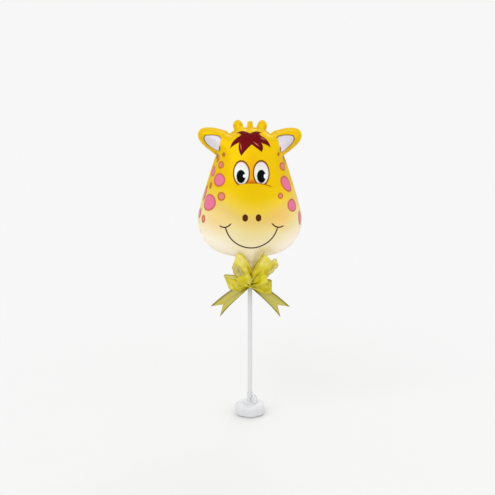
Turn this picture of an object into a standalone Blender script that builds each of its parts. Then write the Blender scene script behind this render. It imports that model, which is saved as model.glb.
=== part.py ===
"""A standing foil balloon: a giraffe's head on a stick, with a gift bow, on a small lobed foot.

Metres, +Z up. The origin is the middle of the foot's underside, the stick stands on the Z axis,
and the giraffe looks towards -Y.
"""

import math

import bmesh
import bpy
import numpy as np
from mathutils import Vector
from mathutils.geometry import delaunay_2d_cdt

# Gap between separate pieces, and the distance within which a piece's own points are one.
CLEARANCE = 0.0003
MERGE = 0.00001

# Foot: a lobed puck with a boss on top, and a collar on the boss that takes the stick.
FOOT_RADIUS = 0.0362
FOOT_HEIGHT = 0.0262
FOOT_LOBES = 6
LOBE_DEPTH = 0.0030
LOBE_ROUNDNESS = 0.8
FOOT_LOWER_EDGE = 0.006
FOOT_UPPER_EDGE = 0.009
BOSS_RADIUS = 0.0180
BOSS_HEIGHT = 0.0043
BOSS_EDGE = 0.0015
COLLAR_WALL = 0.0013
COLLAR_HEIGHT = 0.0200
SOCKET_FLOOR = 0.008

# Filler plug: a stem in a blind hole, a tall cap, an upright pull ring on it, and a strap that runs
# from the ring's shoulder down to the boss.
PLUG_ANGLE = math.radians(-58)
PLUG_DISTANCE = 0.0114
STEM_RADIUS = 0.0022
STEM_LENGTH = 0.0080
CAP_RADIUS = 0.0036
CAP_HEIGHT = 0.0074
CAP_EDGE = 0.0008
RING_RADIUS = 0.0051
RING_WIRE = 0.0012
RING_SINK = 0.0006
STRAP_START = math.radians(50)
STRAP_REACH = 0.0094
STRAP_SHOULDER = 0.0010

# Stick: a round rod from the foot's socket up into the balloon's neck.
STICK_DIAMETER = 0.011
STICK_EDGE = 0.0008
STAND_HEIGHT = 0.3556

# Balloon: the foil head, its flat seam, and the neck gathered round the stick.
HEAD_HEIGHT = 0.3162
HEAD_DEPTH = 0.145
SEAM_WIDTH = 0.004
SEAM_THICKNESS = 0.0008
NECK_RADIUS = 0.0085
NECK_FLARE = 0.0230
NECK_LENGTH = 0.0623
NECK_END = 0.0095
STICK_IN_NECK = 0.0420

# Gift bow: one ribbon gathered into loops and tails at a knot, and a band round the neck.
RIBBON_WIDTH = 0.033
RIBBON_THICKNESS = 0.0008
LOOP_LENGTH = 0.080
TAIL_LENGTH = 0.102
TAIL_NOTCH = 0.024
KNOT_RADIUS = 0.0075
KNOT_FLATNESS = 0.85
BAND_HEIGHT = 0.0080
BAND_THICKNESS = 0.0014

# How the ribbon runs: its gathering at the knot reaches out so many ribbon widths (in a tail, on its
# upper side), its edges curl and a tail waves by these shares of its half width and length, and a
# loop's belly is this blunt.
LOOP_GATHER = 1.1
TAIL_GATHER = 1.1
LOOP_CURL = 0.12
TAIL_CURL = 0.14
TAIL_WAVE = 0.04
BELLY_BLUNTNESS = 0.6
ROOT_GAP = 0.0030
LOOP_ROWS = 11
TAIL_STEPS = 7

TIE_HEIGHT = STAND_HEIGHT - STICK_IN_NECK
CHIN_HEIGHT = TIE_HEIGHT + NECK_LENGTH
BOSS_TOP = FOOT_HEIGHT + BOSS_HEIGHT
COLLAR_TOP = BOSS_TOP + COLLAR_HEIGHT
STICK_RADIUS = STICK_DIAMETER / 2
BORE_RADIUS = STICK_RADIUS + CLEARANCE

# The head's outline, as shares of its height: across from the middle, and up from the chin.
HEAD_SIDE_SHARES = [
    (0.085, 0.936),
    (0.160, 0.888),
    (0.215, 0.806),
    (0.255, 0.722),
    (0.283, 0.640),
    (0.322, 0.520),
    (0.358, 0.400),
    (0.381, 0.290),
    (0.366, 0.187),
    (0.300, 0.086),
    (0.188, 0.026),
]
HEAD_CROWN_SHARES = [(0, 0.9455)]
HEAD_CHIN_SHARES = [(0, 0)]
EAR_SHARES = [
    (0.120, 0.830),
    (0.153, 0.905),
    (0.205, 0.929),
    (0.273, 0.943),
    (0.335, 0.940),
    (0.366, 0.920),
    (0.376, 0.890),
    (0.366, 0.855),
    (0.336, 0.817),
    (0.288, 0.778),
    (0.240, 0.745),
    (0.180, 0.740),
]
HORN_SHARES = [
    (0.108, 0.895),
    (0.119, 0.935),
    (0.124, 0.961),
    (0.113, 0.985),
    (0.088, 0.998),
    (0.063, 0.985),
    (0.048, 0.957),
    (0.046, 0.920),
    (0.075, 0.890),
]
KNOB_SHARES = [
    (0.019, 0.930),
    (0.021, 0.966),
    (0.013, 0.987),
    (-0.013, 0.987),
    (-0.021, 0.966),
    (-0.019, 0.930),
]

# Spacing of the points on the foil: along the outline, and over the panel. Two rings of points follow
# the seam at these depths inside it.
OUTLINE_SPACING = 0.0090
LOBE_SPACING = 0.0050
PANEL_SPACING = 0.0165
FIRST_RING_DEPTH = 0.0022
SECOND_RING_DEPTH = 0.0085
LEAST_SPACING = 0.0019

# The bow's loops: lean from upright and forward tilt in degrees, length as a share of LOOP_LENGTH,
# fullness as a share of its own length, roll of the ribbon about the loop's line in degrees, and how
# much longer one edge of the ribbon is than its middle.
LOOPS = [
    (-27, 24, 1.02, 0.40, -52, 0.04),
    (31, 22, 1.05, 0.26, -6, -0.06),
    (47, 12, 1.06, 0.14, 74, 0.0),
    (-80, 12, 0.73, 0.36, 24, 0.18),
    (-38, 46, 0.60, 0.44, 10, 0.0),
    (56, 32, 0.62, 0.42, 34, 0.0),
    (93, 18, 0.64, 0.38, -20, 0.0),
]
# The tails: lean at the knot, how far each bends further down, and forward tilt, in degrees.
TAILS = [(-121, -9, 8), (123, 9, 8)]


def new_collection(name, parent):
    group = bpy.data.collections.new(name)
    parent.children.link(group)
    return group


def new_material(name, colour, roughness, metallic=0.0):
    material = bpy.data.materials.new(name)
    material.use_nodes = True
    shader = material.node_tree.nodes["Principled BSDF"]
    shader.inputs["Base Color"].default_value = (*colour, 1)
    shader.inputs["Roughness"].default_value = roughness
    shader.inputs["Metallic"].default_value = metallic
    material.diffuse_color = (*colour, 1)
    return material


def new_object(name, mesh, group):
    obj = bpy.data.objects.new(name, mesh)
    group.objects.link(obj)
    return obj


def as_cutter(obj):
    """Makes an object a helper: it cuts or joins others, and isn't a piece itself."""
    obj.hide_render = True
    obj.display_type = "WIRE"
    return obj


def finish(obj, material):
    obj.data.materials.clear()
    obj.data.materials.append(material)
    obj.data.shade_smooth()
    obj.data.set_sharp_from_angle(angle=math.radians(40))


def boolean(obj, other, operation):
    modifier = obj.modifiers.new(operation.title(), "BOOLEAN")
    modifier.operation = operation
    modifier.solver = "EXACT"
    modifier.object = other


def evaluated_mesh(obj):
    """The object's mesh with its modifiers done, in world space and with coincident points as one."""
    graph = bpy.context.evaluated_depsgraph_get()
    mesh = bpy.data.meshes.new_from_object(obj.evaluated_get(graph))
    mesh.transform(obj.matrix_world)
    shape = bmesh.new()
    shape.from_mesh(mesh)
    bmesh.ops.remove_doubles(shape, verts=shape.verts, dist=MERGE)
    shape.to_mesh(mesh)
    shape.free()
    return mesh


def as_mesh(obj):
    """Replaces an object with a plain mesh of its evaluated shape."""
    name, group = obj.name, obj.users_collection[0]
    bpy.context.view_layer.update()
    mesh = evaluated_mesh(obj)
    bpy.data.objects.remove(obj)
    mesh.name = name
    return new_object(name, mesh, group)


def without_hollows(obj):
    """Replaces an object with a plain mesh that is solid where folds of it shut a hollow in."""
    obj = as_mesh(obj)
    shape = bmesh.new()
    shape.from_mesh(obj.data)
    waiting = set(shape.faces)
    while waiting:
        shell, edge = set(), [waiting.pop()]
        while edge:
            face = edge.pop()
            shell.add(face)
            near = {other for side in face.edges for other in side.link_faces} & waiting
            waiting -= near
            edge += near
        volume = sum(face.calc_center_median().dot(face.normal) * face.calc_area() for face in shell)
        if volume < 0:
            bmesh.ops.delete(shape, geom=list(shell), context="FACES")
    shape.to_mesh(obj.data)
    shape.free()
    return obj


def turned(name, profile, group, steps):
    """Turns a profile of (radius, height) points, listed from the top down its outer side."""
    mesh = bpy.data.meshes.new(name)
    points = [(radius, 0, height) for radius, height in profile]
    mesh.from_pydata(points, [(i, i + 1) for i in range(len(points) - 1)], [])
    obj = new_object(name, mesh, group)
    screw = obj.modifiers.new("Turn", "SCREW")
    screw.steps = steps
    screw.render_steps = steps
    screw.use_merge_vertices = True
    screw.merge_threshold = MERGE
    return obj


def rod(name, radius, low, high, group, sides=32):
    """An upright cylinder on the Z axis between two heights."""
    shape = bmesh.new()
    bmesh.ops.create_cone(
        shape, cap_ends=True, segments=sides, radius1=radius, radius2=radius, depth=high - low
    )
    bmesh.ops.translate(shape, verts=shape.verts, vec=(0, 0, (low + high) / 2))
    mesh = bpy.data.meshes.new(name)
    shape.to_mesh(mesh)
    shape.free()
    return new_object(name, mesh, group)


def arc(centre, radius, start, end, steps):
    """Points of an arc in a profile, from one angle to another in degrees."""
    angles = np.radians(np.linspace(start, end, steps + 1))
    return [(centre[0] + radius * math.cos(a), centre[1] + radius * math.sin(a)) for a in angles]


def lobed(mesh):
    """Draws the foot's round rim in between its lobes, one of which faces forward."""
    for vertex in mesh.vertices:
        angle = math.atan2(vertex.co.y, vertex.co.x) + math.pi / 2
        crest = abs(math.cos(FOOT_LOBES / 2 * angle)) ** LOBE_ROUNDNESS
        share = 1 - LOBE_DEPTH / FOOT_RADIUS * (1 - crest)
        vertex.co.x *= share
        vertex.co.y *= share


def make_foot(pieces, cutters):
    lower, upper = FOOT_LOWER_EDGE, FOOT_UPPER_EDGE
    profile = [
        (0, FOOT_HEIGHT),
        *arc((FOOT_RADIUS - upper, FOOT_HEIGHT - upper), upper, 90, 0, 4),
        *arc((FOOT_RADIUS - lower, lower), lower, 0, -90, 2),
        (0, 0),
    ]
    foot = as_mesh(turned("base", profile, pieces, FOOT_LOBES * 8))
    lobed(foot.data)
    collar = BORE_RADIUS + COLLAR_WALL
    boss_profile = [
        (0, COLLAR_TOP),
        (collar, COLLAR_TOP),
        (collar, BOSS_TOP),
        *arc((BOSS_RADIUS - BOSS_EDGE, BOSS_TOP - BOSS_EDGE), BOSS_EDGE, 90, 0, 2),
        (BOSS_RADIUS, FOOT_HEIGHT / 2),
        (0, FOOT_HEIGHT / 2),
    ]
    boss = as_cutter(turned("foot_boss", boss_profile, cutters, 32))
    boolean(foot, boss, "UNION")
    socket = rod("foot_socket", BORE_RADIUS, SOCKET_FLOOR, COLLAR_TOP + BORE_RADIUS, cutters)
    boolean(foot, as_cutter(socket), "DIFFERENCE")
    hole_floor = BOSS_TOP - STEM_LENGTH - CLEARANCE
    hole_radius = STEM_RADIUS + CLEARANCE
    hole = rod("plug_hole", hole_radius, hole_floor, BOSS_TOP + STEM_LENGTH, cutters, 16)
    hole.location = plug_place(0)
    boolean(foot, as_cutter(hole), "DIFFERENCE")
    return foot


def plug_place(height):
    """The plug's axis at a height: in front of the collar, on its right."""
    return Vector((math.cos(PLUG_ANGLE), math.sin(PLUG_ANGLE), 0)) * PLUG_DISTANCE + Vector((0, 0, height))


def make_filler_plug(pieces, cutters):
    seat = BOSS_TOP + CLEARANCE
    profile = [
        (0, CAP_HEIGHT),
        *arc((CAP_RADIUS - CAP_EDGE, CAP_HEIGHT - CAP_EDGE), CAP_EDGE, 90, 0, 2),
        (CAP_RADIUS, 0),
        (STEM_RADIUS, 0),
        (STEM_RADIUS, -STEM_LENGTH),
        (0, -STEM_LENGTH),
    ]
    plug = turned("filler_plug", profile, pieces, 16)
    plug.location = plug_place(seat)

    ring_height = CAP_HEIGHT + RING_RADIUS + RING_WIRE - RING_SINK
    bpy.ops.mesh.primitive_torus_add(
        major_radius=RING_RADIUS, minor_radius=RING_WIRE, major_segments=18, minor_segments=6
    )
    ring = bpy.context.object
    ring.name = "plug_ring"
    ring.rotation_euler = (math.pi / 2, 0, 0)
    ring.location = plug_place(seat + ring_height)
    for group in ring.users_collection:
        group.objects.unlink(ring)
    cutters.objects.link(ring)

    curve = bpy.data.curves.new("plug_strap", "CURVE")
    curve.dimensions = "3D"
    curve.bevel_depth = RING_WIRE
    curve.bevel_resolution = 1
    curve.resolution_u = 4
    curve.use_fill_caps = True
    spline = curve.splines.new("BEZIER")
    start_across, start_up = RING_RADIUS * math.cos(STRAP_START), RING_RADIUS * math.sin(STRAP_START)
    route = [
        (start_across, ring_height + start_up),
        (STRAP_REACH - STRAP_SHOULDER, ring_height),
        (STRAP_REACH, RING_WIRE),
    ]
    spline.bezier_points.add(len(route) - 1)
    for point, (across, up) in zip(spline.bezier_points, route):
        point.co = (across, 0, up)
        point.handle_left_type = "AUTO"
        point.handle_right_type = "AUTO"
    strap = new_object("plug_strap", curve, cutters)
    strap.location = plug_place(seat)
    for part in (ring, as_mesh(strap)):
        boolean(plug, as_cutter(part), "UNION")
    return plug


def make_stick(pieces):
    stick = rod("stick", STICK_RADIUS, SOCKET_FLOOR + CLEARANCE, STAND_HEIGHT, pieces)
    bevel = stick.modifiers.new("Ends", "BEVEL")
    bevel.width = STICK_EDGE
    bevel.segments = 1
    bevel.limit_method = "ANGLE"
    return stick


def smoothstep(share):
    share = min(max(share, 0), 1)
    return share * share * (3 - 2 * share)


def smooth_loop(points, spacing):
    """A closed Catmull-Rom curve through the points, read at about an even spacing."""
    points = np.array(points, float)
    corners = zip(np.roll(points, 1, 0), points, np.roll(points, -1, 0), np.roll(points, -2, 0))
    curve = []
    for before, start, end, after in corners:
        for t in np.linspace(0, 1, 16, endpoint=False):
            line = 2 * start + (end - before) * t
            bend = (2 * before - 5 * start + 4 * end - after) * t**2
            turn = (3 * start - 3 * end + after - before) * t**3
            curve.append((line + bend + turn) / 2)
    curve = np.array(curve + curve[:1])
    along = np.append(0, np.cumsum(np.linalg.norm(np.diff(curve, axis=0), axis=1)))
    count = round(along[-1] / spacing)
    places = np.arange(count) * along[-1] / count
    return np.column_stack([np.interp(places, along, curve[:, axis]) for axis in (0, 1)])


def head_points(shares):
    """Outline points in metres from shares of the head's height."""
    return [(HEAD_HEIGHT * across, HEAD_HEIGHT * up) for across, up in shares]


def mirrored(points):
    """The other side's points, in the order that keeps a loop anticlockwise."""
    return [(-across, up) for across, up in reversed(points)]


def head_outline():
    """The head's outer edge as seen from the front: (across, up) points, anticlockwise."""
    side = head_points(reversed(HEAD_SIDE_SHARES))
    head = head_points(HEAD_CHIN_SHARES) + side + head_points(HEAD_CROWN_SHARES) + mirrored(side)
    ear = head_points(reversed(EAR_SHARES))
    horn = head_points(HORN_SHARES)
    return merged_outline(
        [
            smooth_loop(head, OUTLINE_SPACING),
            smooth_loop(ear, OUTLINE_SPACING),
            smooth_loop(mirrored(ear), OUTLINE_SPACING),
            smooth_loop(horn, LOBE_SPACING),
            smooth_loop(mirrored(horn), LOBE_SPACING),
            smooth_loop(head_points(KNOB_SHARES), LOBE_SPACING),
        ]
    )


def triangulated(points, loops):
    """Points and triangles of the area inside the loops. Points outside them are left out."""
    found = delaunay_2d_cdt([Vector(point) for point in points], [], loops, 1, MERGE)
    triangles = np.array([list(face) for face in found[2]])
    used, triangles = np.unique(triangles, return_inverse=True)
    return np.array([tuple(found[0][index]) for index in used]), triangles.reshape(-1, 3).tolist()


def merged_outline(loops):
    """The outer edge of several overlapping closed loops, as one anticlockwise loop."""
    starts = np.cumsum([0] + [len(loop) for loop in loops])
    faces = [list(range(start, end)) for start, end in zip(starts, starts[1:])]
    points, triangles = triangulated(np.concatenate(loops), faces)
    sides = {(a, b) for face in triangles for a, b in zip(face, face[1:] + face[:1])}
    following = {a: b for a, b in sides if (b, a) not in sides}
    walk = [min(following, key=lambda index: points[index][1])]
    while following[walk[-1]] != walk[0]:
        walk.append(following[walk[-1]])
    outline = points[walk]
    return outline[np.linalg.norm(outline - np.roll(outline, 1, 0), axis=1) > LEAST_SPACING]


def distance_inside(outline, points):
    """Each point's distance from the outline."""
    start, end = outline, np.roll(outline, -1, 0)
    along = end - start
    offset = points[:, None] - start
    share = np.clip((offset * along).sum(2) / (along**2).sum(1), 0, 1)
    return np.linalg.norm(offset - share[..., None] * along, axis=2).min(1)


def inner_ring(outline, depth):
    """The outline's points moved inwards, where no other stretch of it is nearer."""
    along = np.roll(outline, -1, 0) - np.roll(outline, 1, 0)
    inward = np.column_stack([-along[:, 1], along[:, 0]]) / np.linalg.norm(along, axis=1)[:, None]
    ring = outline + inward * depth
    kept = ring[distance_inside(outline, ring) > 0.96 * depth]
    spread = [kept[0]]
    for point in kept[1:]:
        if np.linalg.norm(point - spread[-1]) > LEAST_SPACING:
            spread.append(point)
    return np.array(spread)


def panel_points(outline):
    """Points over the panel: rings along the seam, and an even lattice inside them."""
    rings = [inner_ring(outline, SEAM_WIDTH + depth) for depth in (0, FIRST_RING_DEPTH, SECOND_RING_DEPTH)]
    low, high = outline.min(0), outline.max(0)
    row_height = PANEL_SPACING * math.sqrt(3) / 2
    middle = (low[0] + high[0]) / 2
    columns = math.ceil((high[0] - low[0]) / 2 / PANEL_SPACING) + 1
    lattice = []
    for row in range(math.ceil((high[1] - low[1]) / row_height)):
        shift = middle + PANEL_SPACING / 2 * (row % 2)
        height = low[1] + row_height * row
        lattice += [(shift + PANEL_SPACING * i, height) for i in range(-columns, columns + 1)]
    lattice = np.array(lattice)
    deepest = SEAM_WIDTH + SECOND_RING_DEPTH + 0.6 * PANEL_SPACING
    inside = distance_inside(outline, lattice) > deepest
    return np.concatenate([outline, *rings, lattice[inside]])


def inflated(points, triangles, held):
    """Heights of a membrane under even pressure, held at some points, as shares of its highest.

    The square root of the membrane's sag has the round section and upright edge of a filled balloon.
    """
    stiffness = np.zeros((len(points), len(points)))
    load = np.zeros(len(points))
    for face in triangles:
        corners = points[face]
        for i, (a, b) in enumerate(((1, 2), (2, 0), (0, 1))):
            one, two = corners[a] - corners[i], corners[b] - corners[i]
            cross = one[0] * two[1] - one[1] * two[0]
            weight = one.dot(two) / cross / 2
            ends = face[a], face[b]
            stiffness[ends, ends] += weight
            stiffness[ends, ends[::-1]] -= weight
            load[face[i]] += cross / 6
    free = ~held
    sag = np.zeros(len(points))
    sag[free] = np.linalg.solve(stiffness[np.ix_(free, free)], load[free])
    return np.sqrt(sag / sag.max())


def make_balloon(pieces, cutters):
    outline = head_outline()
    points, triangles = triangulated(panel_points(outline), [list(range(len(outline)))])
    distance = distance_inside(outline, points)
    rise = inflated(points, triangles, distance < 1.03 * SEAM_WIDTH)
    half_depth = SEAM_THICKNESS / 2 + (HEAD_DEPTH - SEAM_THICKNESS) / 2 * rise

    shape = bmesh.new()
    front = [shape.verts.new((x, -y, z + CHIN_HEIGHT)) for (x, z), y in zip(points, half_depth)]
    for face in triangles:
        shape.faces.new([front[index] for index in face])
    rim = [edge for edge in shape.edges if edge.is_boundary]
    sides = bmesh.ops.extrude_edge_only(shape, edges=rim)["geom"]
    for vertex in [part for part in sides if isinstance(part, bmesh.types.BMVert)]:
        vertex.co.y = 0
    bmesh.ops.recalc_face_normals(shape, faces=shape.faces)
    if max(shape.faces, key=lambda face: face.calc_area()).normal.y > 0:
        bmesh.ops.reverse_faces(shape, faces=shape.faces)
    mesh = bpy.data.meshes.new("balloon")
    shape.to_mesh(mesh)
    shape.free()
    balloon = new_object("balloon", mesh, pieces)
    mirror = balloon.modifiers.new("Back panel", "MIRROR")
    mirror.use_axis = (False, True, False)
    mirror.merge_threshold = MERGE

    neck = as_cutter(turned("balloon_neck", neck_profile(), cutters, 32))
    boolean(balloon, neck, "UNION")
    socket = rod("neck_socket", BORE_RADIUS, 0, STAND_HEIGHT + CLEARANCE, cutters)
    boolean(balloon, as_cutter(socket), "DIFFERENCE")
    return balloon


def neck_profile():
    """The gathered neck: a narrow tube under the bow's band that flares into the chin."""
    start = TIE_HEIGHT + BAND_HEIGHT / 2 + CLEARANCE
    profile = [(0, CHIN_HEIGHT + NECK_FLARE)]
    for share in (1.25, 1, 0.85, 0.7, 0.55, 0.4, 0.25, 0.12, 0):
        radius = NECK_RADIUS + (NECK_FLARE - NECK_RADIUS) * smoothstep(share)
        profile.append((radius, start + (CHIN_HEIGHT - start) * share))
    bottom = TIE_HEIGHT - NECK_END
    return profile + [(NECK_RADIUS, bottom), (0, bottom)]


def bow_frame(lean, tilt, turn=0):
    """Outward, width and face directions of a ribbon that leaves the knot.

    lean turns it from upright towards +X, tilt brings it forward, and turn rolls it about itself.
    """
    lean, tilt, turn = (math.radians(angle) for angle in (lean, tilt, turn))
    outward = Vector((math.sin(lean) * math.cos(tilt), -math.sin(tilt), math.cos(lean) * math.cos(tilt)))
    across = Vector((math.cos(lean), 0, -math.sin(lean)))
    face = across.cross(outward)
    width = across * math.cos(turn) + face * math.sin(turn)
    return outward, width, width.cross(outward)


def ribbon(name, rows, group):
    """A thin strip through rows of points that run across it."""
    shape = bmesh.new()
    grid = [[shape.verts.new(point) for point in row] for row in rows]
    for row, after in zip(grid, grid[1:]):
        for i in range(len(row) - 1):
            shape.faces.new((row[i], row[i + 1], after[i + 1], after[i]))
    mesh = bpy.data.meshes.new(name)
    shape.to_mesh(mesh)
    shape.free()
    strip = new_object(name, mesh, group)
    solidify = strip.modifiers.new("Thickness", "SOLIDIFY")
    solidify.thickness = RIBBON_THICKNESS
    solidify.offset = 0
    return as_cutter(strip)


def gathered_half_width(distance, reach):
    """Half the ribbon's width at a distance from the knot, where it is gathered narrow."""
    pinched = KNOT_RADIUS / 2
    return pinched + (RIBBON_WIDTH / 2 - pinched) * smoothstep(distance / (reach * RIBBON_WIDTH))


def let_out_half_width(share):
    """Half the ribbon's width where it widens evenly all the way from the knot to its end."""
    pinched = KNOT_RADIUS / 2
    return pinched + (RIBBON_WIDTH / 2 - pinched) * share


def make_loop(number, knot, loop, group):
    lean, tilt, length_share, fullness, roll, skew = loop
    outward, width, face = bow_frame(lean, tilt, roll)
    length = LOOP_LENGTH * length_share
    rows = []
    for step in np.linspace(-1, 1, LOOP_ROWS):
        # Rows lie closest at the loop's outer end, where it bends most.
        t = 0.5 + 0.5 * step * math.sqrt(abs(step))
        arch = math.sin(math.pi * t)
        out = length * arch**2
        belly = length * fullness / 2 * math.sin(2 * math.pi * t) * arch**BELLY_BLUNTNESS
        half = gathered_half_width(out, LOOP_GATHER)
        curl = LOOP_CURL * half * (1 - 2 * t)
        row = []
        for share in (-1, -0.35, 0.35, 1):
            side = belly + ROOT_GAP * (0.5 - t) - curl * share**2
            row.append(knot + outward * out * (1 + skew * share) + width * half * share + face * side)
        rows.append(row)
    return ribbon(f"bow_loop_{number}", rows, group)


def make_tail(number, knot, tail, group):
    lean, bend, tilt = tail
    centre = knot.copy()
    rows = []
    for step in range(TAIL_STEPS + 1):
        t = step / TAIL_STEPS
        outward, width, face = bow_frame(lean + bend * smoothstep(t), tilt)
        row = []
        for share in (-1, -0.5, 0, 0.5, 1):
            # The lower side widens evenly, so that its edge runs straight.
            lower = share * lean > 0
            half = let_out_half_width(t) if lower else gathered_half_width(TAIL_LENGTH * t, TAIL_GATHER)
            notch = TAIL_NOTCH * (1 - abs(share)) * t**2
            wave = TAIL_WAVE * TAIL_LENGTH * math.sin(2 * math.pi * t) * t + TAIL_CURL * half * share**2
            row.append(centre - outward * notch + width * half * share + face * wave)
        rows.append(row)
        centre += outward * TAIL_LENGTH / TAIL_STEPS
    return ribbon(f"bow_tail_{number}", rows, group)


def make_gift_bow(pieces, cutters):
    inner = NECK_RADIUS + CLEARANCE
    outer = inner + BAND_THICKNESS
    top, bottom = TIE_HEIGHT + BAND_HEIGHT / 2, TIE_HEIGHT - BAND_HEIGHT / 2
    corners = [(inner, top), (outer, top), (outer, bottom), (inner, bottom), (inner, top)]
    bow = turned("gift_bow", corners, pieces, 32)

    knot_depth = KNOT_RADIUS * KNOT_FLATNESS
    knot_place = Vector((0, -(outer + knot_depth - BAND_THICKNESS / 2), TIE_HEIGHT))
    shape = bmesh.new()
    bmesh.ops.create_uvsphere(shape, u_segments=10, v_segments=7, radius=KNOT_RADIUS)
    mesh = bpy.data.meshes.new("bow_knot")
    shape.to_mesh(mesh)
    shape.free()
    ribbons = new_collection("bow_ribbons", cutters)
    knot = as_cutter(new_object("bow_knot", mesh, ribbons))
    knot.location = knot_place
    knot.scale = (1, KNOT_FLATNESS, 1)
    for number, loop in enumerate(LOOPS, 1):
        make_loop(number, knot_place, loop, ribbons)
    for number, tail in enumerate(TAILS, 1):
        make_tail(number, knot_place, tail, ribbons)

    union = bow.modifiers.new("Ribbons", "BOOLEAN")
    union.operation = "UNION"
    union.solver = "EXACT"
    union.operand_type = "COLLECTION"
    union.collection = ribbons
    return without_hollows(bow)


def main():
    for obj in list(bpy.data.objects):
        bpy.data.objects.remove(obj)
    pieces = new_collection("standing_giraffe_balloon", bpy.context.scene.collection)
    cutters = new_collection("cutters", bpy.context.scene.collection)
    white = new_material("white_plastic", (0.86, 0.86, 0.87), 0.32)
    made = [
        (make_foot(pieces, cutters), white),
        (make_filler_plug(pieces, cutters), white),
        (make_stick(pieces), white),
        (make_balloon(pieces, cutters), new_material("yellow_foil", (0.95, 0.62, 0.03), 0.3, 0.2)),
        (make_gift_bow(pieces, cutters), new_material("gold_organza", (0.75, 0.62, 0.08), 0.45)),
    ]
    for obj, material in made:
        finish(obj, material)


main()
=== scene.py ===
"""The looks of a standing foil balloon: a printed giraffe's head, its gift bow, stick and foot.

Metres, +Z up, in the frame of the CAD solids: the stick stands on the Z axis, and the giraffe looks
towards -Y.
"""

import math
from functools import reduce

import bmesh
import bpy
import numpy as np
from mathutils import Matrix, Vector
from mathutils.geometry import delaunay_2d_cdt


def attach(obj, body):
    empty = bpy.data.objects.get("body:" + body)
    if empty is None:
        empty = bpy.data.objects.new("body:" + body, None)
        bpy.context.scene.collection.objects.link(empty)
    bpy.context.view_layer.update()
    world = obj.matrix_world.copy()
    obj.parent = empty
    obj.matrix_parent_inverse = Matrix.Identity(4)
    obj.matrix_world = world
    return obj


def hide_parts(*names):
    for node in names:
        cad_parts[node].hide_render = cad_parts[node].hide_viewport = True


# Sizes that the solids have too.
CLEARANCE = 0.0003
MERGE = 0.00001
FOOT_RADIUS = 0.0362
FOOT_HEIGHT = 0.0262
FOOT_LOBES = 6
LOBE_DEPTH = 0.0030
LOBE_ROUNDNESS = 0.8
FOOT_LOWER_EDGE = 0.006
FOOT_UPPER_EDGE = 0.009
BOSS_RADIUS = 0.0180
BOSS_HEIGHT = 0.0043
BOSS_EDGE = 0.0015
COLLAR_WALL = 0.0013
COLLAR_HEIGHT = 0.0200
SOCKET_FLOOR = 0.008
PLUG_ANGLE = math.radians(-58)
PLUG_DISTANCE = 0.0114
STEM_RADIUS = 0.0022
CAP_RADIUS = 0.0036
CAP_HEIGHT = 0.0074
CAP_EDGE = 0.0008
RING_RADIUS = 0.0051
RING_WIRE = 0.0012
RING_SINK = 0.0006
STRAP_START = math.radians(50)
STRAP_REACH = 0.0094
STRAP_SHOULDER = 0.0010
STICK_RADIUS = 0.0055
STICK_EDGE = 0.0008
STAND_HEIGHT = 0.3556
HEAD_HEIGHT = 0.3162
HEAD_DEPTH = 0.145
SEAM_WIDTH = 0.004
NECK_RADIUS = 0.0085
NECK_FLARE = 0.0230
NECK_LENGTH = 0.0623
NECK_END = 0.0095
STICK_IN_NECK = 0.0420
RIBBON_WIDTH = 0.033
LOOP_LENGTH = 0.080
TAIL_LENGTH = 0.102
TAIL_NOTCH = 0.024
KNOT_RADIUS = 0.0075
KNOT_FLATNESS = 0.85
BAND_HEIGHT = 0.0080
BAND_THICKNESS = 0.0014
LOOP_GATHER = 1.1
TAIL_GATHER = 1.1
LOOP_CURL = 0.12
TAIL_CURL = 0.14
TAIL_WAVE = 0.04
BELLY_BLUNTNESS = 0.6
ROOT_GAP = 0.0030

TIE_HEIGHT = STAND_HEIGHT - STICK_IN_NECK
CHIN_HEIGHT = TIE_HEIGHT + NECK_LENGTH
BOSS_TOP = FOOT_HEIGHT + BOSS_HEIGHT
COLLAR_TOP = BOSS_TOP + COLLAR_HEIGHT
BORE_RADIUS = STICK_RADIUS + CLEARANCE

# The head's outline, as shares of its height: across from the middle, and up from the chin.
HEAD_SIDE = [
    (0.085, 0.936), (0.160, 0.888), (0.215, 0.806), (0.255, 0.722), (0.283, 0.640),
    (0.322, 0.520), (0.358, 0.400), (0.381, 0.290), (0.366, 0.187), (0.300, 0.086),
    (0.188, 0.026),
]
HEAD_CROWN = [(0, 0.9455)]
HEAD_CHIN = [(0, 0)]
EAR = [
    (0.120, 0.830), (0.153, 0.905), (0.205, 0.929), (0.273, 0.943), (0.335, 0.940),
    (0.366, 0.920), (0.376, 0.890), (0.366, 0.855), (0.336, 0.817), (0.288, 0.778),
    (0.240, 0.745), (0.180, 0.740),
]
HORN = [
    (0.108, 0.895), (0.119, 0.935), (0.124, 0.961), (0.113, 0.985), (0.088, 0.998),
    (0.063, 0.985), (0.048, 0.957), (0.046, 0.920), (0.075, 0.890),
]
KNOB = [
    (0.019, 0.930), (0.021, 0.966), (0.013, 0.987), (-0.013, 0.987), (-0.021, 0.966),
    (-0.019, 0.930),
]

# The foot and plug: rounded lip of the collar, fillets under it and under the boss, a groove where the
# foot's two halves meet, the cap's lower edge, and the fineness of the mesh.
LIP = 0.0004
FILLET = 0.0009
GROOVE = 0.0003
PARTING_HEIGHT = 0.0082
STEPS_TO_A_LOBE = 24
CAP_CHAMFER = 0.0003
RING_STEPS = 64
STRAP_STEPS = 28

# The foil: thickness of the welded seam, and spacing of the mesh along it, over it and at the neck. Rings
# of points follow the seam at these depths, and a lattice starts this share of its spacing from them.
FOIL_SEAM = 0.0004
OUTLINE_SPACING = 0.0017
PANEL_SPACING = 0.0042
NECK_SPACING = 0.0012
RING_DEPTHS = (0.0005, 0.0013, 0.0025, 0.0042, 0.0064, 0.0092)
LEAST_SPACING = 0.0006
LATTICE_GAP = 0.6
SECTION_SPACING = 0.0016
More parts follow.
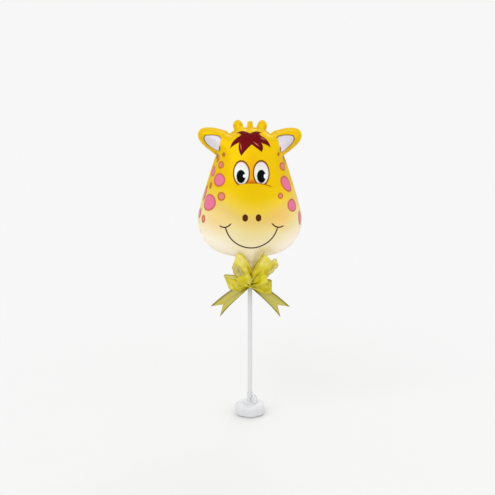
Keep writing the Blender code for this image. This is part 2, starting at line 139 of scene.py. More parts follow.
# Steps of a curve between two points of an outline. How many points are worked on at a time, which
# keeps the memory small. What is left of the membrane's load when it counts as solved.
CURVE_STEPS = 32
BATCH = 400
SOLVED = 1e-12
# The foil is held flat within this many seam widths of the edge. A ring's point stays where the edge is
# no nearer than this share of the ring's depth.
HELD_MARGIN = 1.03
NO_NEARER = 0.97
# The print's places are evened out over this reach, which is wider in the ears. Those begin at a share
# of the head's height.
PRINT_BLUR = 0.0018
EAR_BLUR = 0.006
EARS_FROM = 0.70
EARS_FADE = 0.06
# The front panel's rectangle on the sheet for baking.
SHEET_LEFT = 0.004
SHEET_WIDTH = 0.49
SHEET_FOOT = 0.005
SHEET_HEIGHT = 0.99
# Puckers that a weld leaves: their depth, their lengths along it and number, where they start, how far in
# they reach and how they fall off, the foil's half depth from which they are full, and how much of each
# goes across, through and up. They are deeper where the outline turns in.
PUCKER_DEPTH = 0.00042
PUCKER_WAVES = (0.007, 0.020, 14)
PUCKER_START = 0.0015
PUCKER_REACH = 0.012
PUCKER_FALL = 1.5
PUCKER_HALF_DEPTH = 0.016
PUCKER_WAY = (0.3, 1.0, 0.3)
CORNER_TURN = 0.08
CORNER_REACH = 0.008
CORNER_PUCKERS = 2.0
FRONT_SEED = 3
BACK_SEED = 11
# Waves of the loose edge.
EDGE_WAVE = 0.0005
EDGE_WAVES = (0.012, 0.034, 8)
EDGE_WAVE_REACH = 0.004
EDGE_SEED = 5
# The shading knows each point's distance from the edge up to this many seam widths.
WIDEST_INSET = 4
# The neck: its seam's width, the height under the chin where it leaves the bow's band, how far its
# outline and its fine mesh run up into the chin, where it turns from a membrane's section to a round one,
# and where it is gathered into pleats.
NECK_FLANGE = 0.0008
NECK_START = TIE_HEIGHT + BAND_HEIGHT / 2 + CLEARANCE - CHIN_HEIGHT
NECK_OVERLAP = 0.25 * NECK_FLARE
NECK_MESH_TOP = 0.6 * NECK_FLARE
NECK_ROUNDING = 0.9 * NECK_FLARE
NECK_GATHERED = 0.5 * NECK_FLARE
NECK_GATHERING = 1.5 * NECK_FLARE
NECK_PLEATS = 13
PLEAT_DEPTH = 0.0008
PLEAT_WANDER = 1.7
EASING_ROUNDS = 30

# The bow's loops: lean from upright and forward tilt in degrees, length as a share of LOOP_LENGTH,
# fullness as a share of its own length, roll of the ribbon about the loop's line in degrees, and how
# much longer one edge of the ribbon is than its middle.
LOOPS = [
    (-27, 24, 1.02, 0.40, -52, 0.04),
    (31, 22, 1.05, 0.26, -6, -0.06),
    (47, 12, 1.06, 0.14, 74, 0.0),
    (-80, 12, 0.73, 0.36, 24, 0.18),
    (-38, 46, 0.60, 0.44, 10, 0.0),
    (56, 32, 0.62, 0.42, 34, 0.0),
    (93, 18, 0.64, 0.38, -20, 0.0),
]
# The tails: lean at the knot, how far each bends further down, and forward tilt, in degrees.
TAILS = [(-121, -9, 8), (123, 9, 8)]

# The ribbon's cloth: rows and columns of its mesh, gathers at the knot, long folds that fade out over a
# share of the loop's or tail's length, and edge ruffles. Folds and ruffles shift from one loop to the
# next, and ruffles from one edge to the other, by these angles in radians.
LOOP_ROWS = 73
TAIL_ROWS = 57
RIBBON_COLUMNS = 25
GATHER_FOLDS = 3.5
GATHER_DEPTH = 0.0021
LONG_FOLDS = 2.0
LONG_FOLD_DEPTH = 0.0022
LONG_FOLD_REACH = 0.85
TAIL_FOLD_SHARE = 1.3
FOLD_SHIFT = 2.3
RUFFLE_DEPTH = 0.0008
RUFFLE_LENGTH = 0.013
RUFFLE_SHIFT = 1.9
EDGE_SHIFT = 0.8
# Its satin edge, the dark lines on it, and its threads. The tails' cloth begins at this length of ribbon,
# and the loops grow paler between these distances from the knot.
SELVAGE = 0.0032
SELVAGE_FADE = 0.0004
EDGE_LINES = (0.0003, 0.0028)
EDGE_LINE_FADE = (0.0007, 0.0003)
THREAD_SPACING = 0.0007
TAILS_FROM = 0.936
TAILS_FADE = 0.02
PALE_FROM = (0.045, 0.078)
# Each loop's and tail's strip on the sheet for baking.
STRIP_SHARE = 0.94
STRIP_FOOT = 0.01
STRIP_HEIGHT = 0.98
# The knot: its mesh, its grooves and their depth as a share of its radius, and how far they wander, in
# radians. The same for the band and its creases, with how much thinner the band is at its edges.
KNOT_RINGS = 25
KNOT_STEPS = 48
KNOT_GROOVES = 7
KNOT_GROOVE = 0.055
KNOT_WANDER = 1.2
BAND_ROWS = 13
BAND_STEPS = 96
BAND_CREASES = 1.6
BAND_CREASE = 0.00035
BAND_WANDER = 1.3
BAND_ROUNDING = 0.35

# The camera: distance from the stick, angle from the front to the right, height, the place across at
# which it aims, tilt downwards, and lens and sensor in millimetres.
CAMERA_DISTANCE = 1.43
CAMERA_AZIMUTH = math.radians(-3.5)
CAMERA_HEIGHT = 0.5653
CAMERA_AIM = -0.0058
CAMERA_TILT = math.radians(6.62)
CAMERA_LENS = 45
CAMERA_SENSOR = 36

# The studio: brightness of the air all round, how much of the light the floor sends back, how far it
# runs, and its gap under the foot.
SKY = 0.93
FLOOR = 0.764
FLOOR_CLOUD = 0.01
FLOOR_REACH = 14.0
FLOOR_DROP = 0.0002
# Lights: name, azimuth from the front and elevation in degrees, strength, and spread in degrees.
LIGHTS = [("key", -38, 42, 0.72, 50), ("fill", 55, 25, 0.27, 60), ("back", 160, 40, 0.45, 40)]


def smoothstep(share):
    share = np.clip(share, 0, 1)
    return share * share * (3 - 2 * share)


def srgb(red, green, blue):
    """A colour given as 0 to 255 display values, in the linear values that shaders take."""
    shares = [value / 255 for value in (red, green, blue)]
    linear = [s / 12.92 if s <= 0.04045 else ((s + 0.055) / 1.055) ** 2.4 for s in shares]
    return (*linear, 1)


def new_object(name, mesh):
    obj = bpy.data.objects.new(name, mesh)
    bpy.context.scene.collection.objects.link(obj)
    return obj


def mesh_from(name, points, faces):
    mesh = bpy.data.meshes.new(name)
    mesh.from_pydata([tuple(point) for point in points], [], [tuple(face) for face in faces])
    return mesh


def shaded(obj, material, sharp):
    """The object with its material, shaded smooth except at edges sharper than so many degrees."""
    obj.data.materials.clear()
    obj.data.materials.append(material)
    obj.data.shade_smooth()
    obj.data.set_sharp_from_angle(angle=math.radians(sharp))
    return obj


def add_map(mesh, name, places):
    """A UV map from one place for each vertex."""
    corner_vertices = np.empty(len(mesh.loops), np.int32)
    mesh.loops.foreach_get("vertex_index", corner_vertices)
    layer = mesh.uv_layers.new(name=name)
    layer.data.foreach_set("uv", np.asarray(places, np.float32)[corner_vertices].ravel())


def add_values(mesh, name, values):
    layer = mesh.attributes.new(name, "FLOAT", "POINT")
    layer.data.foreach_set("value", np.asarray(values, np.float32))


class Nodes:
    """Builds a material's nodes one after another, and paints its colour layer by layer."""

    def __init__(self, name):
        self.material = bpy.data.materials.new(name)
        self.material.use_nodes = True
        self.tree = self.material.node_tree
        self.shader = self.tree.nodes["Principled BSDF"]
        self.output = self.tree.nodes["Material Output"]
        self.colour = None

    def add(self, kind, inputs=(), **settings):
        node = self.tree.nodes.new(kind)
        for key, value in settings.items():
            setattr(node, key, value)
        for key, value in dict(inputs).items():
            self.give(node.inputs[key], value)
        return node

    def give(self, socket, value):
        if isinstance(value, bpy.types.NodeSocket):
            self.tree.links.new(value, socket)
        else:
            socket.default_value = value

    def set(self, **values):
        """Sets the main shader's sockets: an underscore stands for a space."""
        for key, value in values.items():
            self.give(self.shader.inputs[key.replace("_", " ")], value)

    def object_place(self):
        return self.add("ShaderNodeTexCoord").outputs["Object"]

    def map_place(self, name):
        return self.add("ShaderNodeUVMap", uv_map=name).outputs["UV"]

    def attribute(self, name):
        return self.add("ShaderNodeAttribute", attribute_name=name).outputs["Fac"]

    def across_and_up(self, place):
        parts = self.add("ShaderNodeSeparateXYZ", {"Vector": place})
        return parts.outputs["X"], parts.outputs["Y"]

    def math(self, operation, *values, clamp=False):
        node = self.add("ShaderNodeMath", enumerate(values), operation=operation, use_clamp=clamp)
        return node.outputs[0]

    def times(self, *values):
        return self.math("MULTIPLY", *values)

    def scaled(self, value, by, plus, clamp=False):
        return self.math("MULTIPLY_ADD", value, by, plus, clamp=clamp)

    def vector(self, operation, *values):
        node = self.add("ShaderNodeVectorMath", enumerate(values), operation=operation)
        return node.outputs["Value" if operation in ("LENGTH", "DOT_PRODUCT") else "Vector"]

    def mix(self, share, one, other):
        node = self.add("ShaderNodeMix", data_type="RGBA")
        self.give(node.inputs[0], share)
        self.give(node.inputs[6], one)
        self.give(node.inputs[7], other)
        return node.outputs[2]

    def paint(self, mask, colour):
        """Lays a colour over what is painted so far, where the mask is above 0."""
        self.colour = self.mix(mask, self.colour, colour)

    def ramp(self, value, stops):
        node = self.add("ShaderNodeValToRGB", {"Fac": value})
        elements = node.color_ramp.elements
        while len(elements) < len(stops):
            elements.new(0.5)
        for element, (place, colour) in zip(elements, stops):
            element.position = place
            element.color = colour
        return node.outputs["Color"]

    def rescaled(self, value, low, high, kind="LINEAR"):
        """0 where a value is low, and 1 where it is high. The two may be in either order."""
        limits = {"Value": value, "From Min": low, "From Max": high}
        return self.add("ShaderNodeMapRange", limits, interpolation_type=kind).outputs["Result"]

    def eased(self, value, low, high):
        return self.rescaled(value, low, high, "SMOOTHSTEP")

    def noise(self, place, scale, detail=2.0, roughness=0.5, output="Fac"):
        """Noise at a scale, or at three scales for the three ways of the place."""
        if isinstance(scale, tuple):
            place, scale = self.vector("MULTIPLY", place, scale), 1.0
        inputs = {"Vector": place, "Scale": scale, "Detail": detail, "Roughness": roughness}
        return self.add("ShaderNodeTexNoise", inputs).outputs[output]

    def bump(self, height, strength, distance, normal=None):
        node = self.add("ShaderNodeBump", {"Height": height, "Strength": strength, "Distance": distance})
        if normal is not None:
            self.give(node.inputs["Normal"], normal)
        return node.outputs["Normal"]

    def either(self, *masks):
        return reduce(lambda one, other: self.math("MAXIMUM", one, other), masks)

    def both(self, *masks):
        return reduce(lambda one, other: self.math("MINIMUM", one, other), masks)

    def blend(self, share, one, other):
        """A shader between two others: the second where the share is 1."""
        node = self.add("ShaderNodeMixShader", {0: share})
        self.tree.links.new(one.outputs[0], node.inputs[1])
        self.tree.links.new(other.outputs[0], node.inputs[2])
        return node

    def reach(self, place, centre, half, turn=0):
        """How far a place is from an oval's centre, where 1 is the oval's edge."""
        oval = {
            "Vector": place,
            "Location": (*centre, 0),
            "Rotation": (0, 0, math.radians(turn)),
            "Scale": (*half, 1),
        }
        mapping = self.add("ShaderNodeMapping", oval, vector_type="TEXTURE")
        return self.vector("LENGTH", mapping.outputs["Vector"])

    def within(self, reach, size, edge, inset=0.0):
        """1 inside an oval of that least half size, drawn smaller by the inset."""
        return self.scaled(reach, -size / edge, (size - inset) / edge + 0.5, clamp=True)

    def oval(self, place, centre, half, edge, turn=0):
        return self.within(self.reach(place, centre, half, turn), min(half), edge)

    def side(self, place, start, end, bulge, edge):
        """1 to the left of an edge from start to end, which bulges to the right between them."""
        start, along, chord, left = chord_of(start, end)
        across = self.vector("DOT_PRODUCT", place, (*left, 0))
        shift = 0.5 - float(left.dot(start)) / edge
        if bulge:
            onward = self.vector("DOT_PRODUCT", place, (*(along / chord**2), 0))
            share = self.math("ADD", onward, -float(along.dot(start)) / chord**2, clamp=True)
            curve = self.times(share, self.math("SUBTRACT", 1.0, share))
            across = self.scaled(curve, 4 * bulge, across)
        return self.scaled(across, 1 / edge, shift, clamp=True)

    def patch(self, place, corners, edge):
        """The area inside arcs: each corner is (across, up, bulge of the arc to the next corner)."""
        pairs = zip(corners, corners[1:] + corners[:1])
        return self.both(*(self.side(place, one[:2], other[:2], one[2], edge) for one, other in pairs))

    def stroke(self, place, start, end, bulge, width, edge):
        """A line of even width on the arc from start to end."""
        first, along, chord, left = chord_of(start, end)
        radius = (chord**2 / 4 + bulge**2) / (2 * abs(bulge))
        centre = first + along / 2 - left * (bulge - math.copysign(radius, bulge))
        distance = self.reach(place, tuple(centre), (radius, radius))
        off = self.math("ABSOLUTE", self.math("SUBTRACT", distance, 1.0))
        line = self.scaled(off, -radius / edge, 0.5 + width / 2 / edge, clamp=True)
        return self.both(line, self.side(place, end, start, 0.0, edge))


def chord_of(start, end):
    """An edge's start, its way to the end, its length, and the direction to its left."""
    start = np.array(start, float)
    along = np.array(end, float) - start
    chord = float(np.linalg.norm(along))
    return start, along, chord, np.array([-along[1], along[0]]) / chord


def smooth_loop(points, spacing):
    """A closed Catmull-Rom curve through the points, read at about an even spacing."""
    points = np.array(points, float)
    corners = zip(np.roll(points, 1, 0), points, np.roll(points, -1, 0), np.roll(points, -2, 0))
    curve = []
    for before, start, end, after in corners:
        for t in np.linspace(0, 1, CURVE_STEPS, endpoint=False):
            line = 2 * start + (end - before) * t
            bend = (2 * before - 5 * start + 4 * end - after) * t**2
            turn = (3 * start - 3 * end + after - before) * t**3
            curve.append((line + bend + turn) / 2)
    curve = np.array(curve + curve[:1])
    along = np.append(0, np.cumsum(np.linalg.norm(np.diff(curve, axis=0), axis=1)))
    count = round(along[-1] / spacing)
    places = np.arange(count) * along[-1] / count
    return np.column_stack([np.interp(places, along, curve[:, axis]) for axis in (0, 1)])


def head_points(shares):
    """Outline points in metres from shares of the head's height."""
    return [(HEAD_HEIGHT * across, HEAD_HEIGHT * up) for across, up in shares]


def mirrored(points):
    """The other side's points, in the order that keeps a loop anticlockwise."""
    return [(-across, up) for across, up in reversed(points)]


def neck_opening(up):
    """How far the neck has opened from the bow's band, at 0, to the chin, at 1."""
    return smoothstep((up - NECK_START) / -NECK_START)


def neck_radius(up):
    """The neck's radius at heights over the chin."""
    return NECK_RADIUS - CLEARANCE + (NECK_FLARE - NECK_RADIUS) * neck_opening(up)


def neck_flange(up):
    """The seam's width down the neck, where the gathering folds it in."""
    return NECK_FLANGE + (SEAM_WIDTH - NECK_FLANGE) * neck_opening(up)


def neck_outline():
    bottom = TIE_HEIGHT - NECK_END - CHIN_HEIGHT
    up = np.arange(bottom, NECK_OVERLAP, OUTLINE_SPACING)
    right = [(neck_radius(z) + neck_flange(z), z) for z in up]
    floor = right[0][0]
    count = round(2 * floor / OUTLINE_SPACING)
    under = [(x, bottom) for x in np.linspace(-floor, floor, count + 1)[1:-1]]
    return np.array(under + right + mirrored(right))


def eased(outline, low, high, rounds):
    """Rounds the outline's corners between two heights, near the neck."""
    across, up = outline.T
    here = ((up > low) & (up < high) & (abs(across) < 2 * NECK_FLARE))[:, None]
    for _ in range(rounds):
        mean = (np.roll(outline, 1, 0) + np.roll(outline, -1, 0)) / 2
        outline = np.where(here, (outline + mean) / 2, outline)
    return outline


def head_outline():
    """The foil's outer edge as seen from the front: (across, up) points, anticlockwise."""
    side = head_points(reversed(HEAD_SIDE))
    head = head_points(HEAD_CHIN) + side + head_points(HEAD_CROWN) + mirrored(side)
    ear = head_points(reversed(EAR))
    horn = head_points(HORN)
    loops = [head, ear, mirrored(ear), horn, mirrored(horn), head_points(KNOB)]
    outline = merged_outline([smooth_loop(loop, OUTLINE_SPACING) for loop in loops] + [neck_outline()])
    return eased(outline, -NECK_FLARE / 2, NECK_FLARE / 2, EASING_ROUNDS)


def triangulated(points, loops):
    """Points and triangles of the area inside the loops. Points outside them are left out."""
    found = delaunay_2d_cdt([Vector(point) for point in points], [], loops, 1, MERGE)
    triangles = np.array([list(face) for face in found[2]])
    used, triangles = np.unique(triangles, return_inverse=True)
    return np.array([tuple(found[0][index]) for index in used]), triangles.reshape(-1, 3)


def merged_outline(loops):
    """The outer edge of several overlapping closed loops, as one anticlockwise loop."""
    starts = np.cumsum([0] + [len(loop) for loop in loops])
    faces = [list(range(start, end)) for start, end in zip(starts, starts[1:])]
    points, triangles = triangulated(np.concatenate(loops), faces)
    triangles = triangles.tolist()
    sides = {(a, b) for face in triangles for a, b in zip(face, face[1:] + face[:1])}
    following = {a: b for a, b in sides if (b, a) not in sides}
    walk = [min(following, key=lambda index: points[index][1])]
    while following[walk[-1]] != walk[0]:
        walk.append(following[walk[-1]])
    outline = points[walk]
    return outline[np.linalg.norm(outline - np.roll(outline, 1, 0), axis=1) > LEAST_SPACING]


def stretches(outline):
    """The outline's straight stretches, their lengths, and how far along it each begins."""
    along = np.roll(outline, -1, 0) - outline
    length = np.linalg.norm(along, axis=1)
    return along, length, np.append(0, np.cumsum(length))[:-1]


def nearest_on(outline, points):
    """Each point's distance from the outline, and how far along the outline its nearest place is."""
    along, length, begun = stretches(outline)
    distance, place = np.empty(len(points)), np.empty(len(points))
    for first in range(0, len(points), BATCH):
        batch = slice(first, first + BATCH)
        offset = points[batch, None] - outline
        share = np.clip((offset * along).sum(2) / length**2, 0, 1)
        gap = np.linalg.norm(offset - share[..., None] * along, axis=2)
        best = gap.argmin(1)
        row = np.arange(len(best))
        distance[batch] = gap[row, best]
        place[batch] = begun[best] + share[row, best] * length[best]
    return distance, place


def flange_width(points):
    """The seam's width at each point: narrow down the neck."""
    return np.where(points[:, 1] < 0, neck_flange(points[:, 1]), SEAM_WIDTH)


def inner_ring(outline, depth):
    """The outline moved in by the seam's width and a depth, where no other stretch of it is nearer."""
    along = np.roll(outline, -1, 0) - np.roll(outline, 1, 0)
    inward = np.column_stack([-along[:, 1], along[:, 0]]) / np.linalg.norm(along, axis=1)[:, None]
    inset = flange_width(outline) + depth
    ring = outline + inward * inset[:, None]
    ring = ring[nearest_on(outline, ring)[0] > NO_NEARER * inset]
    spread = [ring[0]]
    for point in ring[1:]:
        if np.linalg.norm(point - spread[-1]) > LEAST_SPACING:
            spread.append(point)
    return np.array(spread)


def lattice(low, high, spacing):
    """An even triangular lattice over a rectangle, mirrored about the middle."""
    row_height = spacing * math.sqrt(3) / 2
    columns = math.ceil((high[0] - low[0]) / 2 / spacing) + 1
    rows = []
    for row in range(math.ceil((high[1] - low[1]) / row_height)):
        shift = spacing / 2 * (row % 2)
        rows += [(shift + spacing * i, low[1] + row_height * row) for i in range(-columns, columns + 1)]
    return np.array(rows)


def panel_points(outline):
    """Points over the panel: rings along the seam, and even lattices inside them."""
    rings = []
    for depth in (0, *RING_DEPTHS):
        ring = inner_ring(outline, depth)
        rings.append(ring if depth <= RING_DEPTHS[0] else ring[ring[:, 1] > 0])
    reserved = np.concatenate(rings)
    low, high = outline.min(0), outline.max(0)
    reach = NECK_FLARE + SEAM_WIDTH
    fine = lattice((-reach, low[1]), (reach, NECK_MESH_TOP), NECK_SPACING)
    fine = fine[nearest_on(outline, fine)[0] > NECK_FLANGE + LATTICE_GAP * NECK_SPACING]
    wide = lattice(low, high, PANEL_SPACING)
    wide = wide[nearest_on(outline, wide)[0] > SEAM_WIDTH + RING_DEPTHS[-1] + LATTICE_GAP * PANEL_SPACING]
    wide = wide[wide[:, 1] > fine[:, 1].max() + PANEL_SPACING / 2]
    apart = np.array([np.linalg.norm(reserved - point, axis=1).min() for point in fine])
    return np.concatenate([outline, reserved, wide, fine[apart > LATTICE_GAP * NECK_SPACING]])


class Web:
    """The pull of a triangle mesh's points on each other, as in a stretched skin."""

    def __init__(self, points, triangles):
        self.count = len(points)
        corners = points[triangles]
        ends, others, weights, self.areas = [], [], [], np.zeros(self.count)
        for i, (a, b) in enumerate(((1, 2), (2, 0), (0, 1))):
            one, two = corners[:, a] - corners[:, i], corners[:, b] - corners[:, i]
            cross = one[:, 0] * two[:, 1] - one[:, 1] * two[:, 0]
            weights.append((one * two).sum(1) / cross / 2)
            ends.append(triangles[:, a])
            others.append(triangles[:, b])
            self.areas += np.bincount(triangles[:, i], cross / 6, self.count)
        self.ends, self.others, self.weights = (np.concatenate(part) for part in (ends, others, weights))
        self.stiffness = self.summed(self.weights, self.weights)

    def summed(self, at_ends, at_others):
        found = np.bincount(self.ends, at_ends, self.count)
        return found + np.bincount(self.others, at_others, self.count)

    def pull(self, values):
        force = self.weights * (values[self.ends] - values[self.others])
        return self.summed(force, -force)


def inflated(web, held):
    """Heights of a membrane under even pressure, held at some points, as shares of its highest.

    The square root of the membrane's sag has the round section and upright edge of a filled balloon.
    """
    load, diagonal = web.areas, web.stiffness
    free = ~held
    sag = np.zeros(web.count)
    left = load * free
    step = left / diagonal
    size = left.dot(step)
    start = size
    while size > SOLVED * start:
        pulled = web.pull(step) * free
        share = size / step.dot(pulled)
        sag += share * step
        left -= share * pulled
        eased_left = left / diagonal
        after = left.dot(eased_left)
        step = eased_left + step * after / size
        size = after
    return np.sqrt(sag.clip(0) / sag.max())


def sides_of(triangles):
    """The triangles' sides, as pairs of points in the order in which each triangle runs."""
    return np.concatenate([triangles[:, [0, 1]], triangles[:, [1, 2]], triangles[:, [2, 0]]])


def along_sections(points, triangles, depth, axis, origin):
    """Each point's length over the panel from a middle line, in the section through it along an axis."""
    start, end = np.unique(np.sort(sides_of(triangles)), axis=0).T
    over = points[:, 1 - axis]
    levels = np.arange(over.min() + SECTION_SPACING / 2, over.max(), SECTION_SPACING)
    table = []
    for level in levels:
        crossing = (over[start] - level) * (over[end] - level) < 0
        a, b = start[crossing], end[crossing]
        share = (level - over[a]) / (over[b] - over[a])
        place = points[a, axis] + share * (points[b, axis] - points[a, axis])
        height = np.sqrt(depth[a] ** 2 + share * (depth[b] ** 2 - depth[a] ** 2))
        order = place.argsort()
        place, height = place[order], height[order]
        length = np.append(0, np.cumsum(np.hypot(np.diff(place), np.diff(height))))
        table.append((place, length - np.interp(origin, place, length)))

    def read(row, here):
        place, length = table[row]
        return np.interp(here, place, length)

    below = np.clip(((over - levels[0]) / SECTION_SPACING).astype(int), 0, len(levels) - 2)
    share = np.clip((over - levels[below]) / SECTION_SPACING, 0, 1)
    found = np.empty(len(points))
    for row in np.unique(below):
        here = below == row
        place = points[here, axis]
        found[here] = read(row, place) * (1 - share[here]) + read(row + 1, place) * share[here]
    return found


def blurred(points, values, areas, reach):
    """Values of the points, each a mean of its surroundings by their areas and nearness.

    The reach is given for each point.
    """
    found = np.empty_like(values)
    for first in range(0, len(points), BATCH):
        batch = slice(first, first + BATCH)
        gap = ((points[batch, None] - points) ** 2).sum(2)
        weight = np.exp(-gap / (2 * reach[batch, None] ** 2)) * areas
        found[batch] = weight @ values / weight.sum(1)
    return found


def waves(place, total, shortest, longest, count, seed):
    """Seeded waves along a closed line of that total length, about 1 high."""
    random = np.random.default_rng(seed)
    height = np.zeros_like(place)
    for _ in range(count):
        turns = round(total / random.uniform(shortest, longest))
        height += np.sin(2 * math.pi * turns * place / total + random.uniform(0, 2 * math.pi))
    return height / math.sqrt(count / 2)


def panel_normals(points, triangles):
    corners = points[triangles]
    across = np.cross(corners[:, 1] - corners[:, 0], corners[:, 2] - corners[:, 0])
    total = np.zeros_like(points)
    for corner in triangles.T:
        np.add.at(total, corner, across)
    return total / np.linalg.norm(total, axis=1)[:, None]


def corner_share(outline, place):
    """How sharply the outline turns inwards near each place along it, from 0 to 1."""
    along, length, begun = stretches(outline)
    total = length.sum()
    heading = np.unwrap(np.arctan2(along[:, 1], along[:, 0]))
    turn = -np.diff(np.append(heading[-1] - 2 * math.pi, heading))
    found = np.zeros_like(place)
    for here, angle in zip(begun[turn > CORNER_TURN], turn[turn > CORNER_TURN]):
        gap = abs((place - here + total / 2) % total - total / 2)
        found += angle * np.exp(-((gap / CORNER_REACH) ** 2))
    return np.clip(found, 0, 1)


def panel_half_depth(web, points, held):
    """Half the filled foil's depth at each point: a membrane's, and a round one down the neck."""
    half = FOIL_SEAM / 2 + (HEAD_DEPTH - FOIL_SEAM) / 2 * inflated(web, held)
    across, up = points.T
    radius = neck_radius(up)
    round_half = FOIL_SEAM / 2 + radius * np.sqrt(1 - np.clip(across / radius, -1, 1) ** 2)
    return half + (round_half - half) * smoothstep(-up / NECK_ROUNDING) * (up < 0)


def panel_surface(outline, points, triangles, half, held, side, seed):
    """The front (side -1) or back (side 1) panel: 3-D points of the filled foil."""
    distance, place = nearest_on(outline, points)
    total = stretches(outline)[1].sum()
    inside = np.clip(distance - flange_width(points), 0, None)
    across, up = points.T
    flat = np.column_stack([across, side * half, up])
    normals = panel_normals(flat, triangles if side < 0 else triangles[:, ::-1])

    pucker = waves(place, total, *PUCKER_WAVES, seed) * PUCKER_DEPTH
    pucker *= 1 + CORNER_PUCKERS * corner_share(outline, place)
    pucker *= inside / (inside + PUCKER_START) * np.exp(-((inside / PUCKER_REACH) ** PUCKER_FALL))
    pucker *= smoothstep(half / PUCKER_HALF_DEPTH)
    gathered = smoothstep((NECK_GATHERED - up) / NECK_GATHERING)
    angle = np.arctan2(across, half)
    pleat = np.sin(NECK_PLEATS * angle + PLEAT_WANDER * np.sin(2 * angle + seed)) * PLEAT_DEPTH * gathered
    surface = flat + normals * np.where(held, 0, pleat)[:, None]
    surface += normals * PUCKER_WAY * (pucker * (1 - gathered))[:, None]

    edge_wave = waves(place, total, *EDGE_WAVES, EDGE_SEED) * EDGE_WAVE
    surface[:, 1] += edge_wave * np.exp(-inside / EDGE_WAVE_REACH) * smoothstep(up / NECK_FLARE)
    surface[:, 2] += CHIN_HEIGHT
    return surface


def print_across(points, triangles, half, areas):
    """Each point's place across the print: its length over the foil from the middle, evened out."""
    across = along_sections(points, triangles, half, 0, 0.0)
    in_ears = smoothstep((points[:, 1] / HEAD_HEIGHT - EARS_FROM) / EARS_FADE)
    reach = PRINT_BLUR + (EAR_BLUR - PRINT_BLUR) * in_ears
    return points[:, 0] + blurred(points, across - points[:, 0], areas, reach)


def sheet_places(across, upward):
    """The front panel's places on the sheet for baking, on its left half."""
    share = (across / np.abs(across).max() + 1) / 2
    rise = (upward - upward.min()) / (upward.max() - upward.min())
    return np.column_stack([share * SHEET_WIDTH + SHEET_LEFT, rise * SHEET_HEIGHT + SHEET_FOOT])


def make_balloon(material):
    outline = head_outline()
    points, triangles = triangulated(panel_points(outline), [list(range(len(outline)))])
    web = Web(points, triangles)
    distance = nearest_on(outline, points)[0]
    flange = flange_width(points)
    held = distance < flange * HELD_MARGIN
    half = panel_half_depth(web, points, held)
    front = panel_surface(outline, points, triangles, half, held, -1, FRONT_SEED)
    back = panel_surface(outline, points, triangles, half, held, 1, BACK_SEED)

    known = {tuple(pair) for pair in sides_of(triangles).tolist()}
    rim = [pair for pair in known if pair[::-1] not in known]
    count = len(points)
    faces = triangles.tolist()
    faces += (triangles[:, ::-1] + count).tolist()
    faces += [(b, a, a + count, b + count) for a, b in rim]
    mesh = mesh_from("balloon_foil", np.concatenate([front, back]), faces)

    across = print_across(points, triangles, half, web.areas)
    print_place = np.column_stack([across, points[:, 1]]) / HEAD_HEIGHT
    add_map(mesh, "print", np.concatenate([print_place, print_place * (-1, 1)]))
    sheet = sheet_places(across, along_sections(points, triangles, half, 1, HEAD_HEIGHT / 2))
    add_map(mesh, "OFBake", np.concatenate([sheet, sheet * (-1, 1) + (1, 0)]))
    inset = np.minimum(distance / flange, WIDEST_INSET)
    add_values(mesh, "inset", np.concatenate([inset, inset]))
    balloon = shaded(new_object("balloon_foil", mesh), material, sharp=50)
    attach(balloon, "root")
    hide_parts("balloon")


# The print, in shares of the head's height: across from the middle over the foil, up from the chin. A
# line's width, and how far an edge takes to fade.
PRINT_EDGE = 0.0045
OUTLINE_WIDTH = 0.0090
SPOT_LINE = 0.0100
SPOT_EDGE = 0.008
SPOT_WANDER = 0.004
# The ground's colours from the muzzle upwards. They reach lower on either side of the middle.
GROUND = [
    (0.12, srgb(250, 238, 216)),
    (0.30, srgb(254, 243, 222)),
    (0.44, srgb(240, 226, 180)),
    (0.53, srgb(237, 218, 151)),
    (0.63, srgb(229, 199, 110)),
    (0.72, srgb(234, 201, 62)),
    (0.81, srgb(230, 193, 12)),
    (0.92, srgb(228, 187, 3)),
]
GROUND_MIDDLE = 0.03
GROUND_NARROWNESS = -15.0
GROUND_BOW = 0.17
# Cheeks: centre and strength.
CHEEKS = [((0.225, 0.300), 0.50), ((-0.262, 0.285), 0.35)]
CHEEK = (0.080, 0.065)
CHEEK_FADE = 0.11
# Spots: centre, half sizes and turn in degrees. The large ones are pink, the small ones salmon, and the
# ones beside the ears brown.
LARGE_SPOTS = [
    ((-0.245, 0.569), (0.054, 0.048), 0),
    ((-0.333, 0.411), (0.069, 0.059), 0),
    ((-0.335, 0.629), (0.040, 0.038), 0),
    ((-0.453, 0.331), (0.022, 0.037), 0),
    ((-0.416, 0.478), (0.022, 0.056), -10),
    ((0.280, 0.542), (0.071, 0.0485), -38),
    ((0.323, 0.390), (0.052, 0.047), 0),
    ((0.432, 0.294), (0.042, 0.054), 0),
]
SMALL_SPOTS = [
    ((-0.236, 0.675), (0.031, 0.027), 0),
    ((-0.221, 0.455), (0.032, 0.031), 0),
    ((-0.381, 0.293), (0.024, 0.029), 0),
    ((0.256, 0.665), (0.039, 0.031), 0),
    ((0.212, 0.459), (0.024, 0.022), 0),
]
BROWN_SPOTS = [
    ((-0.211, 0.746), (0.017, 0.016), 0),
    ((-0.290, 0.722), (0.026, 0.030), 0),
    ((-0.341, 0.531), (0.022, 0.026), 0),
    ((0.213, 0.750), (0.015, 0.014), 0),
    ((0.322, 0.714), (0.032, 0.036), 0),
]
# Glows between the eyes: centre, half sizes, fade, strength and colour.
GLOWS = [
    ((-0.004, 0.580), (0.036, 0.095), 0.075, 0.75, srgb(238, 152, 18)),
    ((-0.004, 0.550), (0.034, 0.018), 0.022, 0.85, srgb(206, 84, 20)),
]
